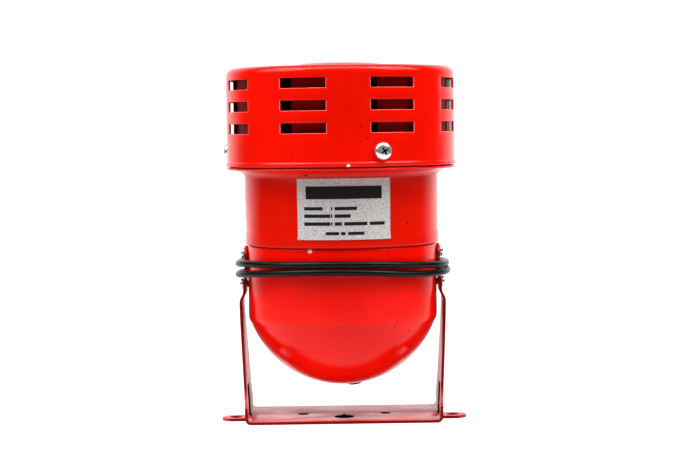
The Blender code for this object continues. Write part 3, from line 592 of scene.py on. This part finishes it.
def floor_material():
    """White and faintly glowing, but dark where the bracket's base covers it: a painted shadow under the
    base.
    """
    finish = Finish("white_floor", (0.1, 0.1, 0.1), 0.8, Specular_IOR_Level=0.0)
    finish.tint(finish.spread(finish.noise(3.0, 2.0), 0.3, 0.7, 0.0, 0.3), (0.09, 0.09, 0.092))
    finish.shader.inputs["Emission Color"].default_value = (1.0, 1.0, 1.0, 1.0)
    sides = finish.node("ShaderNodeSeparateXYZ")
    finish.link(finish.place, sides.inputs["Vector"])
    parts = []
    for axis, half in (("X", FOOT_HALF), ("Y", STRIP_HALF_W)):
        size = finish.node("ShaderNodeMath", operation="ABSOLUTE")
        finish.link(sides.outputs[axis], size.inputs[0])
        parts.append(finish.spread(size.outputs["Value"], (half - 2.5) * MM, (half - 0.5) * MM))
    glow = finish.node("ShaderNodeMath", operation="MAXIMUM")
    for part, socket in zip(parts, glow.inputs):
        finish.link(part, socket)
    strength = finish.spread(glow.outputs["Value"], 0.0, 1.0, 0.0, FLOOR_GLOW)
    finish.link(strength, finish.shader.inputs["Emission Strength"])
    return finish.material


def build_floor():
    """A white table top that ends before the camera; the white room goes on past it."""
    half, front, back, corner = 0.42, -0.4, 0.9, 0.1
    outline = []
    for x, y, start in ((half, back, 0), (-half, back, 90), (-half, front, 180), (half, front, 270)):
        centre = (x - math.copysign(corner, x), y - math.copysign(corner, y))
        outline += arc(centre, corner, start, start + 90, 12)
    shape = prism([(x / MM, y / MM) for x, y in outline], -20.0, -0.05)
    as_object("floor", *shape, floor_material())


def build_world():
    """A white wall behind the siren, and a dim room at its sides and behind the camera."""
    world = bpy.data.worlds.new("studio")
    bpy.context.scene.world = world
    world.use_nodes = True
    tree = world.node_tree
    background = tree.nodes["Background"]
    where = tree.nodes.new("ShaderNodeTexCoord")
    apart = tree.nodes.new("ShaderNodeSeparateXYZ")
    tree.links.new(where.outputs["Generated"], apart.inputs["Vector"])
    wall = tree.nodes.new("ShaderNodeMapRange")
    wall.interpolation_type = "SMOOTHSTEP"
    for socket, value in zip(RANGE_SOCKETS, WALL_GLOW):
        wall.inputs[socket].default_value = value
    tree.links.new(apart.outputs["Y"], wall.inputs["Value"])
    path = tree.nodes.new("ShaderNodeLightPath")
    seen = tree.nodes.new("ShaderNodeMix")
    seen.data_type = "FLOAT"
    tree.links.new(path.outputs["Is Camera Ray"], seen.inputs["Factor"])
    tree.links.new(wall.outputs["Result"], seen.inputs["A"])
    seen.inputs["B"].default_value = WALL_SEEN
    tree.links.new(seen.outputs["Result"], background.inputs["Strength"])
    background.inputs["Color"].default_value = (1.0, 1.0, 1.0, 1.0)


def area_light(name, place, target, size, power):
    data = bpy.data.lights.new(name, "AREA")
    data.shape = "RECTANGLE"
    data.size, data.size_y = size
    data.energy = power
    lamp = bpy.data.objects.new(name, data)
    bpy.context.scene.collection.objects.link(lamp)
    lamp.location = place
    lamp.rotation_euler = (Vector(target) - Vector(place)).to_track_quat("-Z", "Y").to_euler()


def build_lights():
    """Three soft boxes above: one over the camera and one on each side."""
    middle = Vector((0.0, 0.0, AIM_Z))
    for name, azimuth_deg, elevation_deg, size, power in LIGHTS:
        a, e = math.radians(azimuth_deg), math.radians(elevation_deg)
        way = Vector((math.cos(e) * math.sin(a), -math.cos(e) * math.cos(a), math.sin(e)))
        area_light(name, middle + way * LIGHT_AWAY, middle, size, power)


def build_camera():
    data = bpy.data.cameras.new("camera")
    data.lens = LENS_MM
    data.sensor_width = SENSOR_MM
    data.clip_start = 0.01
    camera = bpy.data.objects.new("camera", data)
    bpy.context.scene.collection.objects.link(camera)
    look = Matrix.Rotation(math.radians(90.0 - PITCH_DEG), 4, "X")
    roll = Matrix.Rotation(math.radians(-ROLL_DEG), 4, "Z")
    camera.matrix_world = Matrix.Translation(EYE) @ look @ roll
    bpy.context.scene.camera = camera


# ---- Pieces ----

def keep(piece, node, body="housing"):
    """The piece stands for that CAD node and moves with its body."""
    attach(piece, body)
    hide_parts(node)


def drum_outline():
    """The cover's outside, as (radius, height): its crown, the wall with its slots, the lip."""
    corner = (DRUM_R - DRUM_EDGE_R, DRUM_TOP - DRUM_EDGE_R)
    outline = [(0.0, CROWN_TOP), (4.0, CROWN_TOP), (8.0, CROWN_TOP), (13.0, CROWN_TOP - 0.02)]
    outline += [(14.6, CROWN_TOP - 0.15), (15.8, CROWN_TOP - 0.42), (16.9, CROWN_TOP - 0.8)]
    outline += [(18.0, DRUM_TOP + 0.48), (19.2, DRUM_TOP + 0.18), (20.6, DRUM_TOP + 0.02)]
    outline += [(22.0, DRUM_TOP), (30.0, DRUM_TOP)]
    outline += arc(corner, DRUM_EDGE_R, 90, 0, 8)
    for z in sorted(SLOT_HEIGHTS, reverse=True):
        outline += [(DRUM_R, z + SLOT_H / 2), (DRUM_R, z - SLOT_H / 2)]
    outline += [(DRUM_R, 104.0), (DRUM_R, 98.6), (DRUM_R + 0.01, 98.0), (DRUM_R + 0.05, 97.78)]
    outline += [(DRUM_R + 0.1, 97.68), (DRUM_R + 0.36, 97.3), (DRUM_R + 0.42, 97.16)]
    outline += [(LIP_R, 96.9), (LIP_R, 96.2), (LIP_R - 0.2, DRUM_BOTTOM)]
    return outline


def ring_angles(count, first_deg, half_open_deg, open_steps, closed_steps):
    """Angles once round: open_steps across each opening and closed_steps between them."""
    pitch = 360.0 / count
    angles = []
    for c in range(count):
        start = first_deg + c * pitch - half_open_deg
        for i in range(open_steps):
            angles.append(math.radians(start + 2 * half_open_deg * i / open_steps))
        start += 2 * half_open_deg
        rest = pitch - 2 * half_open_deg
        for i in range(closed_steps):
            angles.append(math.radians(start + rest * i / closed_steps))
    return angles


def build_drum(finishes):
    outer = drum_outline()
    inner = inset(outer, SHEET)
    open_steps, closed_steps, wall_r = 14, 6, 42.0
    angles = ring_angles(COLUMNS, FIRST_COLUMN_DEG, SLOT_HALF_DEG, open_steps, closed_steps)

    def is_open(j, i):
        middle = (outer[j][1] + outer[j + 1][1]) / 2
        in_row = outer[j][0] > wall_r and any(abs(middle - z) < SLOT_H / 2 - 0.1 for z in SLOT_HEIGHTS)
        return in_row and i % (open_steps + closed_steps) < open_steps

    drum = as_object("drum_shell", *punched_shell(outer, inner, angles, is_open), finishes["drum"])
    holes = []
    for i in range(INTAKE_COUNT):
        a = math.tau * (i + 0.5) / INTAKE_COUNT
        place = Matrix.Translation((INTAKE_RING_R * math.cos(a), INTAKE_RING_R * math.sin(a), 0))
        holes.append(rod(INTAKE_HOLE_R, *INTAKE_CUT, 32, place))
    boolean(drum, "DIFFERENCE", [gathered(holes)])
    bevel(drum, 0.24, 3, clamp=False)
    # Slot edge faces that tilt out and up take the pale finish: a painted highlight.
    drum.data.materials.append(finishes["slot_highlight"])
    top, bottom = max(SLOT_HEIGHTS) + SLOT_H, min(SLOT_HEIGHTS) - SLOT_H
    for face in drum.data.polygons:
        x, y, z = face.center / MM
        r = math.hypot(x, y)
        outward = (face.normal.x * x + face.normal.y * y) / r if r > DRUM_R - 0.5 else 0.0
        if HIGHLIGHT_OUTWARD[0] < outward < HIGHLIGHT_OUTWARD[1] and face.normal.z > HIGHLIGHT_UP and bottom < z < top:
            face.material_index = 1
    keep(drum, "slotted_drum")


def build_housing(finishes):
    outer = [(RIM_R, RIM_TOP), (RIM_R, 96.4)] + arc((RIM_R + 0.4, 96.0), 0.4, 180, 270, 3)
    outer += [(42.7, 95.6)] + arc((42.75, 95.15), 0.45, 90, -90, 6)
    outer += [(41.6, 94.62), (40.4, 94.48), (39.3, 94.3), (38.4, 94.0), (37.6, 93.55), (37.1, 93.05)]
    outer += [(36.75, 92.5), (NECK_TOP_R, 91.8), (36.55, 87.0), (36.45, 79.0), (NECK_R, 71.8)]
    outer += [(NECK_R + 0.03, 71.2), (NECK_R + 0.14, 70.7), (NECK_R + 0.24, 70.2)]
    outer += [(NECK_R + BEAD_H, 69.6), (NECK_R + BEAD_H, 67.4)]
    outer += arc((NECK_R - 0.35, 67.0), 0.6, 0, -75, 4)
    inside = [(35.6, SEAM_Z + 0.05), (NECK_R - SHEET, 67.2), (NECK_R - SHEET, NECK_Z)]
    inside += [(NECK_TOP_R - SHEET, NECK_TOP_Z), (36.3, 93.3), (36.9, 94.0), (37.9, 94.6)]
    inside += [(40.0, 95.15), (40.7, 95.4)]
    inside += [(RIM_R - SHEET, 95.9), (RIM_R - SHEET, RIM_TOP)]
    housing = as_object("housing_shell", *revolve(outer + inside, SHELL_STEPS), finishes["housing"], 60)
    keep(housing, "upper_housing")


def build_can(finishes):
    outer = [(SPIGOT_R, SPIGOT_TOP), (SPIGOT_R, 66.9), (SPIGOT_R + 0.1, 66.4)]
    outer += [(SPIGOT_R + 0.3, 66.1), (CAN_R - 0.15, 65.95), (CAN_R, 65.6), (CAN_R, 60.0)]
    outer += [(CAN_R, 50.0), (CAN_R, 40.0), (CAN_R - 0.02, 39.2), (CAN_R - 0.12, 38.4)]
    outer += [(CAN_R - 0.36, 37.6)]
    top_deg = math.degrees(math.asin((DOME_TOP - DOME_CENTRE_Z) / DOME_R))
    dome = arc((0.0, DOME_CENTRE_Z), DOME_R, top_deg, -90.0, 36)
    outer += dome[:-1] + [(0.0, DOME_CENTRE_Z - DOME_R)]
    inner = inset(outer, SHEET)
    inner[0] = (SPIGOT_R - SHEET, SPIGOT_TOP)
    can = as_object("can_shell", *revolve(outer + inner[::-1], SHELL_STEPS), finishes["can"], 60)
    keep(can, "lower_can")


def wall_radius(z):
    """The neck's radius at a height, with the bead below it."""
    if z < NECK_Z:
        return NECK_R + (BEAD_H if z <= BEAD_TOP else 0.0)
    return NECK_R + (NECK_TOP_R - NECK_R) * (z - NECK_Z) / (NECK_TOP_Z - NECK_Z)


def wrapped_plate(u0, u1, z0, z1, lift, thick):
    """A plate of little thickness that lies on the neck, from u0 to u1 mm round it and z0 to z1 up it."""
    columns = max(2, round((u1 - u0) / PLATE_STEP))
    heights = [z0] + [z for z in (BEAD_TOP, NECK_Z) if z0 < z < z1] + [z1]
    verts, faces = [], []
    for z in heights:
        for layer in (lift, lift + thick):
            r = wall_radius(z) + layer
            for i in range(columns + 1):
                a = math.radians(LABEL_CENTRE_DEG) + (u0 + (u1 - u0) * i / columns) / NECK_R
                verts.append((r * math.sin(a), -r * math.cos(a), z))
    row = columns + 1
    last = len(heights) - 1
    for level in range(last):
        low, high = 2 * level * row, 2 * (level + 1) * row
        for i in range(columns):
            for start in (0, row):
                faces.append([low + start + i, low + start + i + 1, high + start + i + 1, high + start + i])
        for i in (0, columns):
            faces.append([low + i, low + row + i, high + row + i, high + i])
    for start in (0, 2 * last * row):
        for i in range(columns):
            faces.append([start + i, start + i + 1, start + row + i + 1, start + row + i])
    return verts, faces


# Blank stand-ins for printing: rows of word-long bars, u from the label's middle and z up it, mm
PRINT_ROWS = (
    (86.7, 4.6, ((-13.9, 13.9),)),
    (80.95, 1.2, ((-14.6, -7.7), (-4.7, -4.2), (-3.4, 4.6))),
    (78.25, 1.2, ((-14.6, -5.0), (-4.7, -4.2), (-3.4, 2.3))),
    (75.4, 1.2, ((-14.6, -5.0), (-4.7, -4.2), (-3.4, -0.9), (0.0, 8.3), (9.3, 15.0))),
    (71.9, 1.1, ((-6.7, -1.9), (-1.2, 0.4), (1.3, 7.2))),
)


def build_label(finishes):
    half = LABEL_W / 2
    plate = wrapped_plate(-half, half, LABEL_BOTTOM, LABEL_TOP, FOIL_LIFT, FOIL_T)
    label = as_object("label_plate", *plate, finishes["foil"])
    keep(label, "rating_label")
    bars = []
    for z, height, spans in PRINT_ROWS:
        for u0, u1 in spans:
            bars.append(wrapped_plate(u0, u1, z - height / 2, z + height / 2, PRINT_LIFT, PRINT_T))
    ink = as_object("label_print", *gathered(bars), finishes["ink"])
    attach(ink, "housing")


def strip_outline():
    """The right half of the strip seen from the front, as (x, z): its outside, then its inside."""
    bend = (FOOT_HALF - BEND_R, BEND_R)
    arm = [(FOOT_HALF + 0.1, 6.0), (KNEE_HALF - 0.3, KNEE_Z - 8.0), (KNEE_HALF - 0.03, KNEE_Z - 1.2)]
    arm += [(KNEE_HALF, KNEE_Z), (KNEE_HALF - 0.05, KNEE_Z + 0.8), (KNEE_HALF - 0.18, KNEE_Z + 1.6)]
    arm += [(TAB_HALF + 0.22, TAB_Z - 1.6), (TAB_HALF + 0.06, TAB_Z - 0.8), (TAB_HALF, TAB_Z)]
    arm += [(TAB_HALF - 0.06, TAB_Z + 0.9), (TIP_HALF + 0.05, TIP_Z - 0.8), (TIP_HALF, TIP_Z + 0.2)]
    arm += [(TIP_HALF, ARM_TOP)]
    inner_arm = [(x - STRIP_T, z) for x, z in reversed(arm)]
    return arc(bend, BEND_R, -90, 0, 10) + arm + inner_arm + arc(bend, BEND_R - STRIP_T, 0, -90, 8)


def corner_cut(side, flip):
    """What is cut off one edge of an arm, so that it narrows to a rounded tip."""
    edge = STRIP_HALF_W + 2.0
    curve = list(TAPER) + arc((0.0, ARM_TOP - ARM_TOP_R), ARM_TOP_R, 0, 84, 16)
    outline = [(edge, TAPER[0][1] - 1.3)] + curve + [(curve[-1][0], ARM_TOP + 1.0), (edge, ARM_TOP + 1.0)]
    stand = Matrix(((0, 0, side, 0), (flip, 0, 0, 0), (0, 1, 0, 0), (0, 0, 0, 1)))
    return placed(prism(outline, *TAPER_CUT), stand)


def build_bracket(finishes):
    half = strip_outline()
    outline = half + [(-x, z) for x, z in reversed(half)]
    upright = Matrix.Rotation(math.pi / 2, 4, "X")
    strip = placed(prism(outline, -STRIP_HALF_W, STRIP_HALF_W), upright)
    bracket = as_object("bracket_sheet", *strip, finishes["bracket"])
    window_half = EAR_HALF_W + WINDOW_GAP
    windows, ears, holes, corners = [], [], [], []
    for side in (1, -1):
        low, high = sorted(side * x for x in WINDOW_X)
        windows.append(box((low, EAR_Y - window_half, -1.0), (high, EAR_Y + window_half, WINDOW_TOP)))
        tip = arc((EAR_TIP - EAR_HALF_W, 0.0), EAR_HALF_W, -90, 90, 24)
        ear = [(EAR_ROOT, -EAR_HALF_W)] + tip + [(EAR_ROOT, EAR_HALF_W)]
        ears.append(prism([(side * x, EAR_Y + y) for x, y in ear], 0.0, STRIP_T))
        x, y, radius = BASE_HOLE
        holes.append(rod(radius, *BASE_CUT, 40, Matrix.Translation((side * x, y, 0))))
        holes.append(rod(EAR_HOLE_R, *BASE_CUT, 40, Matrix.Translation((side * EAR_HOLE_X, EAR_Y, 0))))
        corners += [corner_cut(side, flip) for flip in (1, -1)]
        for z in ARM_SCREW_HEIGHTS:
            holes.append(rod(ARM_SCREW_HOLE_R, *ARM_CUT, 32, out_from_axis(90 * side, z)))
    holes.append(rod(BIG_HOLE[1], *BASE_CUT, 56, Matrix.Translation((0, BIG_HOLE[0], 0))))
    low, high = ((x, BIG_HOLE[0] + y, z) for x, y, z in zip((-KEY_HALF_W, KEY_HALF_W), KEY_Y, BASE_CUT))
    notch = box(low, high)
    boolean(bracket, "DIFFERENCE", [gathered(windows)])
    boolean(bracket, "UNION", ears)
    boolean(bracket, "DIFFERENCE", [gathered(holes), gathered(corners), notch])
    bracket.data.materials.append(finishes["bare"])
    bracket.data.materials.append(finishes["thin"])
    arm_x, base_x, base_y, close = 34.5, 20.0, 19.0, 0.1
    # Window and base-hole cut faces take the near-black painted shade.
    for face in bracket.data.polygons:
        x, y, z = face.center / MM
        in_window = abs(x) > arm_x and z < WINDOW_TOP and abs(abs(y - EAR_Y) - window_half) < close
        in_base = z < STRIP_T and abs(x) < base_x and abs(y) < base_y
        in_base_hole = in_base and abs(face.normal.z) < close
        if in_window or in_base_hole:
            face.material_index = 1
        # Cut edges facing forward take the darker red painted shade.
        elif face.normal.y < -0.9:
            face.material_index = 2
    bevel(bracket, 0.16)
    keep(bracket, "bracket")


def cross_recess(reach, width, depth):
    """A Phillips cross, narrowing downwards, whose top is at height 0."""
    arms = []
    for turn in (0, 90):
        outline = ((-reach, -width / 2), (reach, -width / 2), (reach, width / 2), (-reach, width / 2))
        verts, faces = prism(outline, -depth, 0.6)
        narrow = [(x * (0.42 if z < 0 else 1.0), y * (0.8 if z < 0 else 1.05), z) for x, y, z in verts]
        arms.append(placed((narrow, faces), Matrix.Rotation(math.radians(turn), 4, "Z")))
    return arms


def screw(name, node, size, place, turn_deg, finishes):
    """A pan-head cross-recessed screw with a rounded head and a cut thread below."""
    head_r, head_h, shank_r, shank_l = size
    profile = [(0.0, -shank_l), (shank_r * 0.6, -shank_l)]
    pitch = shank_r * 0.45
    turns = int((shank_l - 0.6) / pitch)
    for i in range(turns):
        z = -shank_l + 0.3 + i * pitch
        profile += [(shank_r, z), (shank_r * 0.8, z + pitch / 2)]
    profile += [(shank_r * 0.8, 0.0), (head_r * 0.96, 0.0), (head_r, head_h * 0.12)]
    profile += [(head_r, head_h * 0.32), (head_r * 0.985, head_h * 0.45), (head_r * 0.93, head_h * 0.62)]
    profile += [(head_r * 0.84, head_h * 0.77), (head_r * 0.7, head_h * 0.89)]
    profile += [(head_r * 0.5, head_h * 0.965), (head_r * 0.25, head_h * 0.995), (0.0, head_h)]
    item = as_object(name, *revolve(profile, 36), finishes["chrome"], 40)
    reach = head_r * 0.56
    arms = [placed(a, Matrix.Translation((0, 0, head_h))) for a in
            cross_recess(reach, head_r * 0.2, head_h * 0.72)]
    boolean(item, "DIFFERENCE", arms)
    # Faces inside the cross take the dark finish: painted shade in the recess.
    item.data.materials.append(finishes["recess"])
    for face in item.data.polygons:
        x, y, z = face.center / MM
        if math.hypot(x, y) < reach and 0.05 < z < head_h * 0.93:
            face.material_index = 1
    item.data.transform(Matrix.Scale(1 / MM, 4))
    item.data.transform(place @ Matrix.Rotation(math.radians(turn_deg), 4, "Z"))
    item.data.transform(Matrix.Scale(MM, 4))
    smooth(item, 38)
    keep(item, node)


def build_screws(finishes):
    for i, (azimuth, turn) in enumerate(zip(DRUM_SCREW_DEG, DRUM_SCREW_TURNS)):
        place = out_from_axis(azimuth, DRUM_SCREW_Z, DRUM_R + DRUM_SCREW_LIFT)
        screw(f"drum_screw_head_{i + 1}", f"drum_screw_{i + 1}", DRUM_SCREW, place, turn, finishes)
    names = ("right_low", "right_high", "left_low", "left_high")
    spots = list(zip(ARM_SCREW_HEIGHTS, (TAB_HALF, TIP_HALF)))
    places = [(azimuth, z, half) for azimuth in (90, -90) for z, half in spots]
    for name, turn, (azimuth, z, half) in zip(names, ARM_SCREW_TURNS, places):
        place = out_from_axis(azimuth, z, half + ARM_SCREW_LIFT)
        screw("arm_screw_" + name, "bracket_screw_" + name, ARM_SCREW, place, turn, finishes)


def wrap_points():
    """The cord's two turns, from behind on the right and clockwise as seen from above."""
    points = []
    for i, z in enumerate(FIRST_TURN + SECOND_TURN):
        azimuth = FIRST_TURN_START_DEG - i * WRAP_STEP_DEG
        step = abs((azimuth + 90.0) % 180.0 - 90.0) / WRAP_STEP_DEG
        radius = WRAP_RADII[round(step)]
        if i < len(FIRST_TURN) and RIGHT_DEG[0] < azimuth < RIGHT_DEG[1]:
            radius += OUTER_AT_RIGHT
        a = math.radians(azimuth)
        points.append((radius * math.sin(a), -radius * math.cos(a), z))
    return points


def build_cord(finishes):
    route = list(RISER) + wrap_points()
    path = smooth_path(route, CORD_STEPS)
    cord = tube("cord", path, CORD_D, finishes["cord"], 6)
    keep(cord, "power_cord")
    ahead = (path[-1] - path[-6]).normalized()
    wires = []
    for name, way, finish in (("live", 1, "brown"), ("neutral", -1, "blue")):
        up = Vector((0, 0, way))
        start = path[-1] + up * CORE_WIRE_APART
        bend = start + ahead * CORE_WIRE_L * 0.5 + up * CORE_WIRE_SPREAD[0]
        end = start + ahead * CORE_WIRE_L + up * CORE_WIRE_SPREAD[1]
        wire = smooth_path([start, bend, end], WIRE_STEPS)
        sleeve = tube("wire_" + name, wire[:BARE_FROM + 1], CORE_WIRE_D, finishes[finish], 4)
        keep(sleeve, "cord_wire_" + name)
        strand_d = CORE_WIRE_D * 0.62
        strand = tube("wire_tip_" + name, wire[BARE_FROM:], strand_d, finishes["tin"], 3, (1.0, 0.5))
        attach(strand, "housing")
        wires += [sleeve, strand]


def build_grommet(finishes):
    x, y = GROMMET_XY
    drop = math.sqrt(DOME_R ** 2 - x * x - y * y)
    inwards = Vector((-x, -y, drop)).normalized()
    seat = Matrix.Translation((x, y, DOME_CENTRE_Z - drop))
    seat = seat @ inwards.to_track_quat("Z", "Y").to_matrix().to_4x4()
    profile = [(0.0, -1.9)] + arc((3.0, -1.35), 0.55, -90, -25, 5) + [(3.66, -1.2)]
    profile += [(4.1, -0.9), (4.27, -0.6), (4.25, -0.2), (3.2, -0.05), (3.0, 0.3), (3.0, 1.5), (3.3, 1.7)]
    profile += [(4.3, 1.9), (4.2, 2.4), (3.4, 3.0), (0.0, 3.0)]
    grommet = as_object("grommet", *placed(revolve(profile, 48), seat), finishes["rubber"], 50)
    first, last = (Vector(end) for end in BOOT[:2])
    reach = (last - first).length + 0.1
    boot = [(0.0, 0.0), (BOOT[2], 0.0), (BOOT[2], reach - 1.4), (BOOT[2] - 0.15, reach - 1.2)]
    boot += [(BOOT[2] - 0.02, reach - 1.0), (BOOT[2] - 0.1, reach - 0.2), (BOOT[2] - 0.3, reach)]
    boot += [(0.0, reach)]
    turn = Matrix.Translation(first) @ (last - first).to_track_quat("Z", "Y").to_matrix().to_4x4()
    boolean(grommet, "UNION", [placed(revolve(boot, 40), turn)])
    smooth(grommet, 40)
    keep(grommet, "cable_grommet")


def build_rotor(finishes):
    """The chopper rotor: a ported wall on a dished floor, with sloping blades inside."""
    outer = [(33.0, ROTOR_TOP), (38.5, ROTOR_TOP)] + arc((39.5, ROTOR_TOP - 1.0), 1.0, 80, 0, 4)
    outer += [(ROTOR_R, PORT_TOP), (ROTOR_R, 118.0), (ROTOR_R, PORT_BOTTOM)]
    outer += [(ROTOR_R, 106.2)] + arc((ROTOR_R - 1.2, 106.2), 1.2, -10, -90, 4)
    outer += [(30.0, ROTOR_BOTTOM), (HUB_R + 1.5, ROTOR_BOTTOM), (HUB_R + 0.6, ROTOR_BOTTOM - 0.5)]
    outer += [(HUB_R, ROTOR_BOTTOM - 1.0), (FLOOR_BORE_R, ROTOR_BOTTOM - 1.0)]
    inner = inset(outer, 1.0)
    open_steps, closed_steps, wall_r = 10, 12, 40.0
    angles = ring_angles(ROTOR_PORTS, FIRST_PORT_DEG, PORT_DEG / 2, open_steps, closed_steps)

    def is_open(j, i):
        middle = (outer[j][1] + outer[j + 1][1]) / 2
        in_wall = outer[j][0] > wall_r and PORT_BOTTOM < middle < PORT_TOP
        return in_wall and i % (open_steps + closed_steps) < open_steps

    shell = as_object("rotor_shell", *punched_shell(outer, inner, angles, is_open), finishes["rotor"])
    bevel(shell, 0.15)
    keep(shell, "siren_rotor", "rotor")
    hub = [(HUB_BORE_R, ROTOR_BOTTOM - 0.6), (HUB_R - 1.0, ROTOR_BOTTOM - 0.6), (HUB_R - 0.6, 106.5)]
    hub += [(HUB_R - 0.5, HUB_TOP - 0.6), (HUB_R - 1.0, HUB_TOP), (HUB_BORE_R, HUB_TOP)]
    boss = as_object("rotor_hub", *revolve(hub, 48), finishes["rotor"])
    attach(boss, "rotor")
    root, tip, floor = HUB_R - 0.8, ROTOR_R - 1.0, ROTOR_BOTTOM + 0.9
    outline = ((root, floor), (tip, floor), (tip, BLADE_TOP), (tip - BLADE_FLAT, BLADE_TOP),
               (root, BLADE_ROOT_TOP))
    for i in range(ROTOR_PORTS):
        azimuth = FIRST_PORT_DEG + (i + 0.5) * 360.0 / ROTOR_PORTS
        blade = placed(prism(outline, -BLADE_T / 2, BLADE_T / 2), Matrix.Rotation(math.pi / 2, 4, "X"))
        blade = placed(blade, Matrix.Rotation(math.radians(azimuth - 90.0), 4, "Z"))
        item = as_object(f"rotor_blade_{i + 1}", *blade, finishes["rotor"])
        bevel(item, 0.12)
        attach(item, "rotor")


def dress_cad_nodes(finishes):
    """The pieces inside keep their CAD shapes and get real finishes."""
    by_finish = {
        "zinc": ("motor_plate", "lower_bearing_carrier", "upper_bearing_carrier"),
        "bronze": ("lower_bush", "upper_bush"),
        "steel": ("through_bolt_right", "through_bolt_left", "bolt_nut_right", "bolt_nut_left",
                  "brush_spring_right", "brush_spring_left", "rotor_washer", "rotor_nut",
                  "motor_shaft"),
        "stack": ("field_core", "armature_core"),
        "copper": ("field_coil_front", "field_coil_back", "armature_winding_lower",
                   "armature_winding_upper"),
        "bakelite": ("brush_holder_right", "brush_holder_left"),
        "carbon": ("brush_right", "brush_left"),
        "brown": ("motor_lead_live",),
        "blue": ("motor_lead_neutral",),
        "brass": ("commutator",),
    }
    for finish, names in by_finish.items():
        for name in names:
            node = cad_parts[name]
            node.data.materials.clear()
            node.data.materials.append(finishes[finish])


def main():
    bpy.context.scene.view_settings.view_transform = "Standard"
    bpy.context.scene.view_settings.gamma = VIEW_GAMMA
    build_camera()
    finishes = make_materials()
    build_cord(finishes)
    build_world()
    build_lights()
    build_floor()
    build_drum(finishes)
    build_housing(finishes)
    build_can(finishes)
    build_label(finishes)
    build_bracket(finishes)
    build_screws(finishes)
    build_grommet(finishes)
    build_rotor(finishes)
    dress_cad_nodes(finishes)


main()
